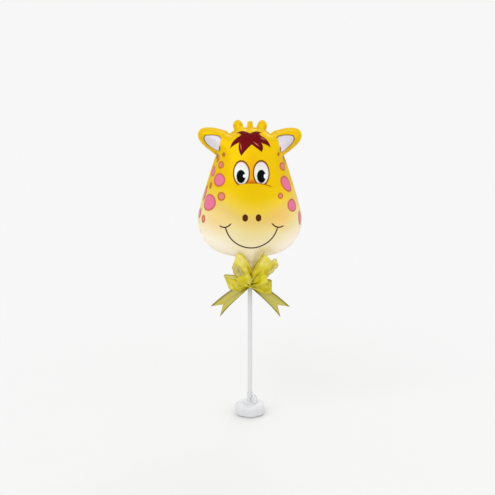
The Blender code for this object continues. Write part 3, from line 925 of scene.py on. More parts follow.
# Eyes: centre and half sizes, the pupil's, and those of the light in it.
LEFT_EYE = ((-0.073, 0.616), (0.0601, 0.0904))
LEFT_PUPIL = ((-0.076, 0.593), (0.0316, 0.0461), (-0.050, 0.597), (0.0112, 0.0110))
RIGHT_EYE = ((0.067, 0.617), (0.0610, 0.0905))
RIGHT_PUPIL = ((0.067, 0.594), (0.0318, 0.0461), (0.093, 0.595), (0.0085, 0.0150))
EYES = [LEFT_EYE + LEFT_PUPIL, RIGHT_EYE + RIGHT_PUPIL]
MUZZLE_CENTRE = (0.003, 0.136)
MUZZLE_RADIUS = 0.412
NOSTRILS = [(-0.047, 0.307), (0.046, 0.307)]
NOSTRIL = (0.0201, 0.0256)
# Lines: the muzzle's with its width, and the mouth's and its dimples', each from its start to its end
# with the bulge between them.
MUZZLE_LINE = ((0.140, 0.522), (-0.118, 0.528), 0.023, 0.0068)
MOUTH_LINES = [
    ((-0.187, 0.239), (0.187, 0.239), 0.150),
    ((-0.230, 0.250), (-0.149, 0.266), 0.019),
    ((0.146, 0.267), (0.233, 0.248), 0.019),
]
MOUTH_WIDTH = 0.0096
# The forelock: rounds, and locks given as (across, up, bulge of the edge to the next corner).
FORELOCK_ROUNDS = [
    ((-0.038, 0.859), (0.0445, 0.0448)),
    ((0.033, 0.857), (0.0462, 0.0449)),
    ((0.0, 0.836), (0.032, 0.020)),
    ((-0.004, 0.874), (0.024, 0.020)),
    ((-0.059, 0.834), (0.023, 0.019)),
    ((0.068, 0.842), (0.018, 0.015)),
]
LOCKS = [
    [(-0.113, 0.899, -0.004), (-0.065, 0.883, 0.0), (-0.007, 0.895, 0.016)],
    [(0.083, 0.902, 0.012), (-0.005, 0.895, 0.0), (0.050, 0.885, -0.003)],
    [(-0.058, 0.885, 0.018), (-0.153, 0.791, -0.004), (-0.060, 0.840, 0.0)],
    [(0.140, 0.796, 0.018), (0.058, 0.883, 0.0), (0.078, 0.824, -0.003)],
    [(-0.085, 0.831, 0.011), (-0.072, 0.735, -0.003), (0.008, 0.820, 0.0)],
    [(-0.008, 0.824, 0.0), (0.072, 0.763, 0.012), (0.069, 0.831, 0.0)],
]
# The hair's lighter colour fills this share of a lock, with this soft an edge.
LOCK_INSIDE = 0.80
LOCK_EDGE = 0.012
STREAKS = [
    ((-0.074, 0.799), (0.0024, 0.015), 8),
    ((0.036, 0.818), (0.0028, 0.017), 53),
    ((0.085, 0.857), (0.0028, 0.014), 62),
]
# Inner ears: corners with bulges, then the middle of the side towards the head. A dark patch under each
# is this much larger, away from that middle, and shows as its outline.
LEFT_EAR = [
    (-0.366, 0.881, 0.000),
    (-0.338, 0.831, 0.012),
    (-0.256, 0.776, 0.010),
    (-0.226, 0.856, 0.004),
    (-0.278, 0.879, 0.003),
]
RIGHT_EAR = [
    (0.205, 0.861, 0.011),
    (0.239, 0.770, 0.012),
    (0.300, 0.803, 0.001),
    (0.347, 0.881, 0.006),
    (0.247, 0.878, 0.003),
]
INNER_EARS = [(LEFT_EAR, (-0.236, 0.812)), (RIGHT_EAR, (0.217, 0.812))]
EAR_LINE = 1.10
# The dark roots beside the ears: centre, half sizes and turn in degrees.
EAR_ROOTS = [((-0.243, 0.789), (0.0065, 0.020), -27), ((0.228, 0.785), (0.0060, 0.021), 22)]
# The weld's knurl runs across the rim at this slant.
KNURL_SLANT = math.radians(45)


def paint_ground(n, place, across, up):
    """Yellow above, and cream on the muzzle and the lower sides, with two blushed cheeks."""
    aside = n.math("SUBTRACT", across, GROUND_MIDDLE)
    bowed = n.math("EXPONENT", n.times(n.times(aside, aside), GROUND_NARROWNESS))
    fade = n.scaled(bowed, GROUND_BOW, n.math("SUBTRACT", up, GROUND_BOW))
    spread = n.scaled(n.eased(up, 0.62, 0.50), -0.35, 0.35)
    fade = n.scaled(n.math("ADD", fade, spread), 1.2, 0.3)
    n.colour = n.ramp(fade, GROUND)
    for centre, share in CHEEKS:
        blush = n.oval(place, centre, CHEEK, CHEEK_FADE)
        n.paint(n.times(blush, share), srgb(246, 188, 88))


def paint_spots(n, place):
    """Spots with a darker line round them, and edges that wander a little."""
    wander = n.noise(place, 11.0, 1.0, output="Color")
    wander = n.vector("SCALE", n.vector("SUBTRACT", wander, (0.5, 0.5, 0.5)))
    n.give(wander.node.inputs["Scale"], SPOT_WANDER)
    wandering = n.vector("ADD", place, wander)
    for spots, line, fill in (
        (LARGE_SPOTS, srgb(188, 98, 72), srgb(226, 118, 150)),
        (SMALL_SPOTS, srgb(188, 104, 44), srgb(222, 134, 116)),
        (BROWN_SPOTS, srgb(176, 112, 26), srgb(190, 118, 52)),
    ):
        for centre, half, turn in spots:
            reach = n.reach(wandering, centre, half, turn)
            n.paint(n.within(reach, min(half), SPOT_EDGE), line)
            n.paint(n.within(reach, min(half), SPOT_EDGE, SPOT_LINE), fill)


def resized(corners, middle, size, bulge_size=1.0):
    """A patch's corners drawn towards a point or away from it."""
    return [
        (*(np.array(middle) + np.subtract((across, up), middle) * size), bulge * bulge_size)
        for across, up, bulge in corners
    ]


def paint_ears(n, place, up):
    """Inner ears, outlined on their outer sides, and the dark roots beside them."""
    for corners, root in INNER_EARS:
        n.paint(n.patch(place, resized(corners, root, EAR_LINE), PRINT_EDGE), srgb(120, 82, 20))
        shade = n.mix(n.rescaled(up, 0.79, 0.87), srgb(226, 217, 220), srgb(206, 201, 211))
        n.paint(n.patch(place, corners, PRINT_EDGE * 1.5), shade)
    for centre, half, turn in EAR_ROOTS:
        n.paint(n.oval(place, centre, half, 0.006, turn), srgb(140, 88, 10))


def paint_forelock(n, place):
    hair = srgb(106, 4, 11)
    for corners in LOCKS:
        n.paint(n.patch(place, corners, PRINT_EDGE), srgb(70, 0, 4))
        middle = np.mean([corner[:2] for corner in corners], axis=0)
        n.paint(n.patch(place, resized(corners, middle, LOCK_INSIDE, LOCK_INSIDE), LOCK_EDGE), hair)
    for centre, half in FORELOCK_ROUNDS:
        n.paint(n.oval(place, centre, half, PRINT_EDGE * 2), hair)
    for centre, half, turn in STREAKS:
        n.paint(n.oval(place, centre, half, 0.005, turn), srgb(214, 128, 110))


def paint_eyes(n, place, across, up):
    """Eyes, cut off below by the muzzle, with a glow between them and a line under them."""
    muzzle = n.oval(place, MUZZLE_CENTRE, (MUZZLE_RADIUS, MUZZLE_RADIUS), PRINT_EDGE)
    over = n.math("SUBTRACT", 1.0, muzzle)
    for centre, half, edge, share, colour in GLOWS:
        glow = n.times(n.oval(place, centre, half, edge), over)
        n.paint(n.times(glow, share), colour)
    for centre, half, pupil, pupil_half, light, light_half in EYES:
        reach = n.reach(place, centre, half)
        n.paint(n.both(n.within(reach, half[0], PRINT_EDGE), over), srgb(112, 58, 8))
        white = n.mix(n.eased(up, 0.62, 0.70), srgb(226, 232, 220), srgb(220, 207, 218))
        white = n.mix(n.eased(reach, 0.62, 0.92), white, srgb(232, 214, 202))
        n.paint(n.both(n.within(reach, half[0], PRINT_EDGE, OUTLINE_WIDTH), over), white)
        n.paint(n.oval(place, pupil, pupil_half, PRINT_EDGE), srgb(5, 8, 8))
        n.paint(n.oval(place, light, light_half, PRINT_EDGE), srgb(246, 250, 244))
    line = n.stroke(place, *MUZZLE_LINE, PRINT_EDGE)
    n.paint(n.times(line, n.rescaled(across, -0.13, 0.0)), srgb(164, 92, 10))


def paint_mouth(n, place):
    """Nostrils, and the mouth with a dimple at each end."""
    for centre in NOSTRILS:
        reach = n.reach(place, centre, NOSTRIL)
        n.paint(n.within(reach, NOSTRIL[0], PRINT_EDGE), srgb(66, 26, 6))
        n.paint(n.within(reach, NOSTRIL[0], 0.014, 0.010), srgb(100, 44, 12))
    lines = [n.stroke(place, *line, MOUTH_WIDTH, PRINT_EDGE) for line in MOUTH_LINES]
    n.paint(n.either(*lines), srgb(46, 26, 4))


def make_print():
    """The printed foil: ground colours, spots, ears, forelock, eyes and mouth on satin metal."""
    n = Nodes("printed_foil")
    place = n.map_place("print")
    across, up = n.across_and_up(place)
    paint_ground(n, place, across, up)
    paint_spots(n, place)
    paint_ears(n, place, up)
    paint_forelock(n, place)
    paint_eyes(n, place, across, up)
    paint_mouth(n, place)

    # Welded rim: thin ink over bare foil, with painted light that lifts the shade of the groove by the seam.
    rim = n.rescaled(n.attribute("inset"), 1.05, 0.85)
    rim_ink_with_painted_light = n.mix(n.rescaled(up, 0.30, 0.62), srgb(240, 240, 240), srgb(246, 222, 96))
    n.paint(n.times(rim, 0.42), rim_ink_with_painted_light)

    # Satin: soft creases, a fine grain, and the weld's knurl on the rim.
    place = n.object_place()
    creases = n.noise(place, 46.0, 3.0, 0.55)
    slanted = n.add("ShaderNodeMapping", {"Vector": place, "Rotation": (0, KNURL_SLANT, 0)}).outputs[0]
    knurl = n.add("ShaderNodeTexWave", {"Vector": slanted, "Scale": 420.0}, bands_direction="X")
    normal = n.bump(creases, 0.10, 0.002)
    normal = n.bump(n.noise(place, 900.0), 0.05, 0.0002, normal)
    normal = n.bump(n.times(knurl.outputs["Fac"], rim), 0.35, 0.0002, normal)
    n.set(
        Base_Color=n.colour,
        Metallic=0.3,
        Roughness=n.scaled(n.rescaled(creases, 0.3, 0.7), 0.07, 0.37),
        Specular_IOR_Level=0.06,
        Normal=normal,
    )
    return n.material


def plastic(name, colour):
    """Moulded plastic: an even colour with a faint cloud, a fine skin and soft gloss."""
    n = Nodes(name)
    place = n.object_place()
    cloud = n.noise(place, 35.0, 3.0)
    normal = n.bump(n.noise(place, 120.0), 0.08, 0.0006)
    normal = n.bump(n.noise(place, 1400.0), 0.06, 0.0001, normal)
    n.set(
        Base_Color=n.mix(cloud, tuple(value * 0.95 for value in colour[:3]) + (1,), colour),
        Roughness=n.scaled(cloud, 0.12, 0.30),
        Specular_IOR_Level=0.5,
        Normal=normal,
    )
    return n.material


def arc(centre, radius, start, end, steps):
    """Points of an arc in a profile, from one angle to another in degrees."""
    angles = np.radians(np.linspace(start, end, steps + 1))
    return [(centre[0] + radius * math.cos(a), centre[1] + radius * math.sin(a)) for a in angles]


def turned(profile, steps, middle=(0, 0, 0)):
    """Points and faces of a closed turned shape. The profile goes from the axis round to the axis."""
    angles = np.arange(steps) * 2 * math.pi / steps
    points = [(0, 0, profile[0][1])]
    for radius, height in profile[1:-1]:
        points += [(radius * math.cos(a), radius * math.sin(a), height) for a in angles]
    points.append((0, 0, profile[-1][1]))
    last = len(points) - 1
    rings = quads(len(profile) - 2, steps, ring_columns=True)
    faces = [(0, 1 + i, 1 + (i + 1) % steps) for i in range(steps)]
    faces += [tuple(index + 1 for index in face) for face in rings]
    faces += [(last, last - steps + (i + 1) % steps, last - steps + i) for i in range(steps)]
    return np.array(points) + middle, faces


def quads(rows, columns, ring_rows=False, ring_columns=False):
    """Faces over a grid of points, given row by row. A ring of them closes on its first one."""
    faces = []
    for row in range(rows if ring_rows else rows - 1):
        here, after = row * columns, (row + 1) % rows * columns
        for column in range(columns if ring_columns else columns - 1):
            beside = (column + 1) % columns
            faces.append((here + column, here + beside, after + beside, after + column))
    return faces


def joined(name, parts):
    """One mesh from several (points, faces), with all of its faces turned out."""
    points, faces, count = [], [], 0
    for some_points, some_faces in parts:
        points.append(np.asarray(some_points))
        faces += [tuple(index + count for index in face) for face in some_faces]
        count += len(some_points)
    mesh = mesh_from(name, np.concatenate(points), faces)
    shape = bmesh.new()
    shape.from_mesh(mesh)
    bmesh.ops.recalc_face_normals(shape, faces=shape.faces)
    shape.to_mesh(mesh)
    shape.free()
    return mesh


def moulded(name, parts, material, sharp=35):
    return shaded(new_object(name, joined(name, parts)), material, sharp)


def lobed(points):
    """Draws the foot's round rim in between its lobes, one of which faces forward."""
    angle = np.arctan2(points[:, 1], points[:, 0]) + math.pi / 2
    crest = abs(np.cos(FOOT_LOBES / 2 * angle)) ** LOBE_ROUNDNESS
    reach = smoothstep((np.hypot(points[:, 0], points[:, 1]) - BOSS_RADIUS) / (FOOT_RADIUS - BOSS_RADIUS) * 2)
    share = 1 - LOBE_DEPTH / FOOT_RADIUS * (1 - crest) * reach
    points = points.copy()
    points[:, :2] *= share[:, None]
    return points


def make_base(material):
    collar = BORE_RADIUS + COLLAR_WALL
    profile = [
        (0, SOCKET_FLOOR),
        (BORE_RADIUS, SOCKET_FLOOR),
        (BORE_RADIUS, COLLAR_TOP - LIP),
        (BORE_RADIUS + LIP / 2, COLLAR_TOP),
        *arc((collar - LIP, COLLAR_TOP - LIP), LIP, 90, 0, 4),
        *arc((collar + FILLET, BOSS_TOP + FILLET), FILLET, 180, 270, 6),
        *arc((BOSS_RADIUS - BOSS_EDGE, BOSS_TOP - BOSS_EDGE), BOSS_EDGE, 90, 0, 6),
        *arc((BOSS_RADIUS + FILLET, FOOT_HEIGHT + FILLET), FILLET, 180, 270, 6),
        *arc((FOOT_RADIUS - FOOT_UPPER_EDGE, FOOT_HEIGHT - FOOT_UPPER_EDGE), FOOT_UPPER_EDGE, 90, 0, 16),
        (FOOT_RADIUS, PARTING_HEIGHT + GROOVE),
        (FOOT_RADIUS - GROOVE, PARTING_HEIGHT),
        (FOOT_RADIUS, PARTING_HEIGHT - GROOVE),
        *arc((FOOT_RADIUS - FOOT_LOWER_EDGE, FOOT_LOWER_EDGE), FOOT_LOWER_EDGE, 0, -90, 10),
        (0, 0),
    ]
    points, faces = turned(profile, STEPS_TO_A_LOBE * FOOT_LOBES)
    base = moulded("base_moulding", [(lobed(points), faces)], material)
    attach(base, "root")
    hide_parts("base")


def tube(route, radius, sides, closed=False):
    """Points and faces of a round wire along a route in a plane of constant y."""
    count = len(route)
    points = []
    for i, centre in enumerate(route):
        before = route[i - 1] if closed or i else route[0]
        after = route[(i + 1) % count] if closed or i < count - 1 else route[-1]
        along = (after - before).normalized()
        out = Vector((along.z, 0, -along.x))
        for k in range(sides):
            turn = 2 * math.pi * k / sides
            points.append(centre + out * radius * math.cos(turn) + Vector((0, radius * math.sin(turn), 0)))
    faces = quads(count, sides, closed, True)
    if not closed:
        faces += [tuple(range(sides)), tuple(range((count - 1) * sides, count * sides))]
    return points, faces


def strap_route(ring_height):
    """The plug's strap, as (across, up) points: from the ring out over its shoulder, and down."""
    start = (RING_RADIUS * math.cos(STRAP_START), ring_height + RING_RADIUS * math.sin(STRAP_START))
    shoulder = (STRAP_REACH - STRAP_SHOULDER, ring_height)
    end = (STRAP_REACH, RING_WIRE)
    pull = [(middle - (one + other) / 4) * 2 for one, middle, other in zip(start, shoulder, end)]
    route = []
    for t in np.linspace(0, 1, STRAP_STEPS):
        weights = ((1 - t) ** 2, 2 * (1 - t) * t, t**2)
        x, z = (float(np.dot(weights, ends)) for ends in zip(start, pull, end))
        route.append((min(x, STRAP_REACH), z))
    return route


def make_plug(material):
    foot = Vector((math.cos(PLUG_ANGLE), math.sin(PLUG_ANGLE), 0)) * PLUG_DISTANCE
    foot.z = BOSS_TOP + CLEARANCE
    profile = [
        (0, CAP_HEIGHT),
        *arc((CAP_RADIUS - CAP_EDGE, CAP_HEIGHT - CAP_EDGE), CAP_EDGE, 90, 0, 6),
        (CAP_RADIUS, CAP_CHAMFER),
        (CAP_RADIUS - CAP_CHAMFER, 0),
        (STEM_RADIUS, 0),
        (STEM_RADIUS, -BOSS_HEIGHT),
        (0, -BOSS_HEIGHT),
    ]
    ring_height = CAP_HEIGHT + RING_RADIUS + RING_WIRE - RING_SINK
    circle = arc((0, ring_height), RING_RADIUS, 0, 360, RING_STEPS)[:-1]
    ring, strap = (
        [foot + Vector((x, 0, z)) for x, z in route] for route in (circle, strap_route(ring_height))
    )
    parts = [turned(profile, 48, foot), tube(ring, RING_WIRE, 16, closed=True), tube(strap, RING_WIRE, 14)]
    plug = moulded("plug_moulding", parts, material)
    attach(plug, "root")
    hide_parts("filler_plug")


def make_stick(material):
    low, high = SOCKET_FLOOR + CLEARANCE, STAND_HEIGHT
    inner = STICK_RADIUS - STICK_EDGE
    profile = [
        (0, low),
        *arc((inner, low + STICK_EDGE), STICK_EDGE, -90, 0, 6),
        *[(STICK_RADIUS, z) for z in np.linspace(low + 2 * STICK_EDGE, high - 2 * STICK_EDGE, 24)],
        *arc((inner, high - STICK_EDGE), STICK_EDGE, 0, 90, 6),
        (0, high),
    ]
    stick = moulded("stick_rod", [turned(profile, 64)], material)
    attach(stick, "root")
    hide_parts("stick")


def bow_frame(lean, tilt, turn=0):
    """Outward, width and face directions of a ribbon that leaves the knot.

    lean turns it from upright towards +X, tilt brings it forward, and turn rolls it about itself.
    """
    lean, tilt, turn = (math.radians(angle) for angle in (lean, tilt, turn))
    outward_way = Vector((math.sin(lean) * math.cos(tilt), -math.sin(tilt), math.cos(lean) * math.cos(tilt)))
    across = Vector((math.cos(lean), 0, -math.sin(lean)))
    face = across.cross(outward_way)
    width = across * math.cos(turn) + face * math.sin(turn)
    return (np.array(way) for way in (outward_way, width, width.cross(outward_way)))


def let_out_half_width(share):
    """Half the ribbon's width, which widens from the knot, where the share is 0, to all of it at 1."""
    pinched = KNOT_RADIUS / 2
    return pinched + (RIBBON_WIDTH / 2 - pinched) * share


def gathered_half_width(distance, reach):
    """Half the ribbon's width at a distance from the knot, where its gathering reaches that far."""
    return let_out_half_width(smoothstep(distance / (reach * RIBBON_WIDTH)))


def folds(distance, share, length, number):
    """The ribbon's folds off its smooth course: gathers at the knot, and long soft creases."""
    gather = 1 - smoothstep(distance / (LOOP_GATHER * RIBBON_WIDTH))
    crease = 1 - smoothstep(distance / (LONG_FOLD_REACH * length))
    gathers = GATHER_DEPTH * gather * np.sin(math.pi * GATHER_FOLDS * share + number)
    creases = LONG_FOLD_DEPTH * crease * np.sin(math.pi * LONG_FOLDS * share + FOLD_SHIFT * number)
    return gathers + creases


def ruffle(along, share, number):
    """The wave of the ribbon's edges, off its smooth course."""
    shift = RUFFLE_SHIFT * number + EDGE_SHIFT * np.sign(share)
    return RUFFLE_DEPTH * abs(share) ** 3 * np.sin(2 * math.pi * along / RUFFLE_LENGTH + shift)


def loop_rows(number, knot, loop):
    """A loop's rows of points, out from the knot and back to it, and how far each is folded."""
    lean, tilt, length_share, fullness, roll, skew = loop
    out_way, width, face = bow_frame(lean, tilt, roll)
    length = LOOP_LENGTH * length_share
    share = np.linspace(-1, 1, RIBBON_COLUMNS)
    rows, folded = [], []
    for step in np.linspace(-1, 1, LOOP_ROWS):
        t = 0.5 + 0.5 * step * math.sqrt(abs(step))
        arch = max(math.sin(math.pi * t), 0)
        out = length * arch**2
        belly = length * fullness / 2 * math.sin(2 * math.pi * t) * arch**BELLY_BLUNTNESS
        half = gathered_half_width(out, LOOP_GATHER)
        fold = folds(out, share, length, number + t)
        side = belly + ROOT_GAP * (0.5 - t) - LOOP_CURL * half * (1 - 2 * t) * share**2
        side = side + fold * math.copysign(1, 0.5 - t)
        side = side + ruffle(2 * length * t, share, number) * smoothstep(out / RIBBON_WIDTH)
        reach = out * (1 + skew * share)
        rows.append(knot + np.outer(reach, out_way) + np.outer(half * share, width) + np.outer(side, face))
        folded.append(fold)
    return np.array(rows), np.array(folded)


def tail_rows(number, knot, tail):
    """A tail's rows of points, from the knot to its notched end, and how far each is folded."""
    lean, bend, tilt = tail
    share = np.linspace(-1, 1, RIBBON_COLUMNS)
    centre = knot.copy()
    rows, folded = [], []
    for t in np.linspace(0, 1, TAIL_ROWS):
        out_way, width, face = bow_frame(lean + bend * float(smoothstep(t)), tilt)
        upper = gathered_half_width(TAIL_LENGTH * t, TAIL_GATHER)
        half = np.where(share * lean > 0, let_out_half_width(t), upper)
        notch = TAIL_NOTCH * (1 - abs(share)) * t**2
        fold = folds(TAIL_LENGTH * t, share, TAIL_FOLD_SHARE * TAIL_LENGTH, number)
        wave = TAIL_WAVE * TAIL_LENGTH * math.sin(2 * math.pi * t) * t + TAIL_CURL * half * share**2
        wave = wave + fold + ruffle(TAIL_LENGTH * t, share, number) * t
        rows.append(centre - np.outer(notch, out_way) + np.outer(half * share, width) + np.outer(wave, face))
        folded.append(fold)
        centre = centre + out_way * TAIL_LENGTH / (TAIL_ROWS - 1)
    return np.array(rows), np.array(folded)


def make_ribbon(knot, material):
    """The ribbon's loops and tails, as strips of one mesh, and their length in all."""
    strips = [loop_rows(number, knot, loop) for number, loop in enumerate(LOOPS, 1)]
    strips += [tail_rows(number, knot, tail) for number, tail in enumerate(TAILS, len(LOOPS) + 1)]
    points, faces, cloth, baked, creased, total = [], [], [], [], [], 0.0
    for number, (rows, folded) in enumerate(strips):
        middle = rows[:, RIBBON_COLUMNS // 2]
        along = np.append(0, np.cumsum(np.linalg.norm(np.diff(middle, axis=0), axis=1)))
        across, onward = np.meshgrid(np.linspace(-1, 1, RIBBON_COLUMNS), along)
        across, onward = across.ravel(), onward.ravel()
        count = sum(len(some) for some in points)
        faces += [tuple(index + count for index in face) for face in quads(len(rows), RIBBON_COLUMNS)]
        points.append(rows.reshape(-1, 3))
        cloth.append(np.column_stack([across * RIBBON_WIDTH / 2, onward + total]))
        column = (number + 0.5 + STRIP_SHARE / 2 * across) / len(strips)
        baked.append(np.column_stack([column, STRIP_FOOT + STRIP_HEIGHT * onward / along[-1]]))
        creased.append(folded.ravel() / (GATHER_DEPTH + LONG_FOLD_DEPTH))
        total += along[-1]
    mesh = mesh_from("bow_ribbon", np.concatenate(points), faces)
    add_map(mesh, "cloth", np.concatenate(cloth))
    add_map(mesh, "OFBake", np.concatenate(baked))
    add_values(mesh, "from_knot", np.linalg.norm(np.concatenate(points) - knot, axis=1))
    add_values(mesh, "fold", np.concatenate(creased))
    return shaded(new_object("bow_ribbon", mesh), material, sharp=180), total


def knot_shape(knot):
    """Points and faces of the knot: a ball with the ribbon's grooves, flattened front to back."""
    points = []
    for rise in np.linspace(0, math.pi, KNOT_RINGS):
        for turn in np.arange(KNOT_STEPS) * 2 * math.pi / KNOT_STEPS:
            wander = KNOT_GROOVES * turn + KNOT_WANDER * math.sin(2 * rise)
            wide = KNOT_RADIUS * math.sin(rise) * (1 + KNOT_GROOVE * math.sin(wander) * math.sin(rise))
            x, y = wide * math.cos(turn), KNOT_FLATNESS * wide * math.sin(turn)
            points.append(knot + (x, y, KNOT_RADIUS * math.cos(rise)))
    return points, quads(KNOT_RINGS, KNOT_STEPS, ring_columns=True)


def band_shape():
    """Points and faces of the band round the neck, with soft creases that run round it."""
    heights = np.linspace(-1, 1, BAND_ROWS)
    profile = [(1.0, h) for h in heights] + [(0.0, h) for h in heights[::-1]]
    points = []
    for turn in np.arange(BAND_STEPS) * 2 * math.pi / BAND_STEPS:
        wander = BAND_WANDER * math.sin(2 * turn)
        for depth, h in profile:
            crease = BAND_CREASE * math.sin(2 * math.pi * BAND_CREASES * h + wander) * depth
            thickness = BAND_THICKNESS * depth * (1 - BAND_ROUNDING * h * h)
            radius = NECK_RADIUS + CLEARANCE + thickness + crease
            height = TIE_HEIGHT + h * BAND_HEIGHT / 2
            points.append((radius * math.cos(turn), radius * math.sin(turn), height))
    return points, quads(BAND_STEPS, len(profile), True, True)


def make_bow(material, knot_material):
    outer = NECK_RADIUS + CLEARANCE + BAND_THICKNESS
    knot = np.array([0, -(outer + KNOT_RADIUS * KNOT_FLATNESS - BAND_THICKNESS / 2), TIE_HEIGHT])
    ribbon, total = make_ribbon(knot, material)
    bow_knot = moulded("bow_knot", [knot_shape(knot), band_shape()], knot_material, 60)
    for piece in (ribbon, bow_knot):
        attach(piece, "root")
        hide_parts("gift_bow")


def paint_folds(n, place, from_knot):
    """Painted highlight on fold crests, painted shade in valleys and gathered pleats. Gives the gathering."""
    gather = n.eased(from_knot, LOOP_GATHER * RIBBON_WIDTH, 0.3 * RIBBON_WIDTH)
    fold = n.attribute("fold")
    # Where the gathered pleats near the knot get streaks of painted shade.
    pleat = n.times(n.eased(n.noise(place, (420.0, 16.0, 1.0)), 0.48, 0.66), gather)
    # Painted highlight on the crests, then painted shade in the valleys and in the pleats.
    n.paint(n.times(n.eased(fold, 0.10, 0.60), 0.35), srgb(252, 246, 130))
    n.paint(n.times(n.eased(fold, 0.10, -0.45), 0.85), srgb(150, 126, 0))
    n.paint(n.times(pleat, 0.55), srgb(132, 110, 0))
    return gather


def paint_crumples(n, place, tail):
    """Painted shade and painted highlight on the sides of the loops' crumples. Gives the crumples' height."""
    crumple = n.noise(place, (62.0, 58.0, 1.0), 1.0)
    loose = n.scaled(tail, -0.8, 1.0)
    shaded_side = n.times(n.eased(crumple, 0.48, 0.72), loose)
    lit_side = n.times(n.eased(crumple, 0.52, 0.28), loose)
    # Painted shade on one side of each crumple, painted highlight on the other.
    n.paint(n.times(shaded_side, 0.55), srgb(186, 164, 0))
    n.paint(n.times(lit_side, 0.45), srgb(252, 247, 150))
    return crumple


def paint_edges(n, across, tail):
    """The satin edge with a dark line on either side of it. Gives where that edge is."""
    gap = n.math("SUBTRACT", RIBBON_WIDTH / 2, n.math("ABSOLUTE", across))
    edge = n.rescaled(gap, SELVAGE + SELVAGE_FADE, SELVAGE - SELVAGE_FADE)
    n.paint(edge, n.mix(tail, srgb(222, 208, 58), srgb(160, 150, 44)))
    off = [n.math("ABSOLUTE", n.math("SUBTRACT", gap, at)) for at in EDGE_LINES]
    line = n.either(*(n.rescaled(distance, *EDGE_LINE_FADE) for distance in off))
    n.paint(n.times(line, n.scaled(tail, 0.58, 0.32)), srgb(74, 68, 14))
    return edge


def paint_ribbon(n, place, across, along, weave):
    """Painted shade and highlights on folds and crumples, then tails and edges. Gives its opacity and the
    crumples' height.
    """
    from_knot = n.attribute("from_knot")
    tail = n.rescaled(along, TAILS_FROM - TAILS_FADE, TAILS_FROM + TAILS_FADE)
    gather = paint_folds(n, place, from_knot)
    crumple = paint_crumples(n, place, tail)
    pale = n.times(n.eased(from_knot, *PALE_FROM), n.math("SUBTRACT", 0.25, n.times(tail, 0.25)))
    n.paint(pale, srgb(252, 246, 160))
    n.paint(n.times(tail, 0.8), srgb(168, 157, 16))
    edge = paint_edges(n, across, tail)
    alpha = n.scaled(tail, 0.04, n.scaled(weave, 0.12, 0.78))
    alpha = n.math("SUBTRACT", alpha, n.times(pale, 0.25))
    alpha = n.scaled(edge, 0.16, alpha, clamp=True)
    return n.scaled(gather, 0.25, alpha, clamp=True), crumple


def organza(name, sheer):
    """Gold organza: fine threads, satin edges, and light that comes through."""
    n = Nodes(name)
    place = n.map_place("cloth") if sheer else n.object_place()
    across, along = n.across_and_up(place)
    warp, weft = (n.math("SINE", n.times(way, 2 * math.pi / THREAD_SPACING)) for way in (across, along))
    weave = n.scaled(n.times(warp, weft), 0.5, 0.5)
    streak = n.noise(place, (900.0, 60.0, 900.0), 3.0)
    n.colour = n.mix(streak, srgb(240, 223, 18), srgb(250, 240, 48))
    n.paint(n.times(n.noise(place, 60.0), 0.35), srgb(200, 184, 12))
    normal = n.bump(weave, 0.25, 0.0002)
    if sheer:
        alpha, crumple = paint_ribbon(n, place, across, along, weave)
        normal = n.bump(crumple, 0.6, 0.006, normal)
    n.set(
        Base_Color=n.colour,
        Roughness=n.scaled(streak, 0.15, 0.38),
        Specular_IOR_Level=0.25,
        Sheen_Weight=0.08,
        Sheen_Roughness=0.4,
        Normal=normal,
    )
    through = n.add("ShaderNodeBsdfTranslucent", {"Color": n.colour, "Normal": normal})
    cloth = n.blend(0.22 if sheer else 0.15, n.shader, through)
    if sheer:
        clear = n.add("ShaderNodeBsdfTransparent", {"Color": srgb(253, 251, 236)})
        cloth = n.blend(alpha, clear, cloth)
    n.tree.links.new(cloth.outputs[0], n.output.inputs["Surface"])
    return n.material


def make_floor():
    n = Nodes("studio_floor")
    cloud = n.noise(n.object_place(), 3.0, 3.0)
    dark, light = ((grey, grey, grey, 1) for grey in (FLOOR, FLOOR + FLOOR_CLOUD))
    n.set(Base_Color=n.mix(cloud, dark, light), Roughness=1.0, Specular_IOR_Level=0.0)
    corners = [(-1, -1), (1, -1), (1, 1), (-1, 1)]
    points = [(x * FLOOR_REACH, y * FLOOR_REACH, -FLOOR_DROP) for x, y in corners]
    floor = new_object("studio_floor", mesh_from("studio_floor", points, [(0, 1, 2, 3)]))
    floor.data.materials.append(n.material)


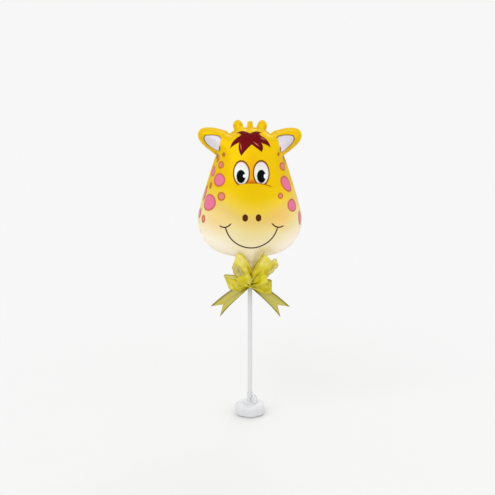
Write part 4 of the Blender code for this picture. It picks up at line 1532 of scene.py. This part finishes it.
def add_light(name, azimuth, elevation, strength, spread):
    """A wide soft light from a direction: azimuth 0 is the front, and positive is to the right."""
    light = bpy.data.lights.new(name, "SUN")
    light.energy = strength
    light.angle = math.radians(spread)
    obj = new_object(name, light)
    around, up = math.radians(azimuth), math.radians(elevation)
    way = Vector((math.sin(around) * math.cos(up), -math.cos(around) * math.cos(up), math.sin(up)))
    obj.location = way * 2
    obj.rotation_euler = way.to_track_quat("Z", "Y").to_euler()


def make_camera():
    camera = bpy.data.cameras.new("camera")
    camera.lens = CAMERA_LENS
    camera.sensor_width = CAMERA_SENSOR
    camera.clip_end = 60
    obj = new_object("camera", camera)
    place = Vector((math.sin(CAMERA_AZIMUTH), -math.cos(CAMERA_AZIMUTH), 0)) * CAMERA_DISTANCE
    obj.location = (place.x, place.y, CAMERA_HEIGHT)
    turn = -math.atan2(CAMERA_AIM - place.x, -place.y)
    obj.rotation_euler = (math.pi / 2 - CAMERA_TILT, 0, turn)
    bpy.context.scene.camera = obj


def make_studio():
    make_floor()
    world = bpy.data.worlds.new("studio")
    world.use_nodes = True
    background = world.node_tree.nodes["Background"]
    background.inputs["Color"].default_value = (1, 1, 1, 1)
    background.inputs["Strength"].default_value = SKY
    bpy.context.scene.world = world
    bpy.context.scene.view_settings.view_transform = "Standard"
    for light in LIGHTS:
        add_light(*light)
    make_camera()


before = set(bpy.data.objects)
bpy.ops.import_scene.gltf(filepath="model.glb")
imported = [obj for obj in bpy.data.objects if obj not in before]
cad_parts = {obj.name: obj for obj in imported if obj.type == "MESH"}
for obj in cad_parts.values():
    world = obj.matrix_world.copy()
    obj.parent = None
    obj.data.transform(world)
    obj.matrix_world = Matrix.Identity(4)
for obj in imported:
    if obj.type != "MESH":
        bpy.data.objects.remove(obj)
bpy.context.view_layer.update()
white = plastic("white_plastic", (0.68, 0.685, 0.695, 1))
make_base(white)
make_plug(white)
make_stick(white)
make_balloon(make_print())
make_bow(organza("organza", True), organza("organza_knot", False))
make_studio()
bpy.context.view_layer.update()
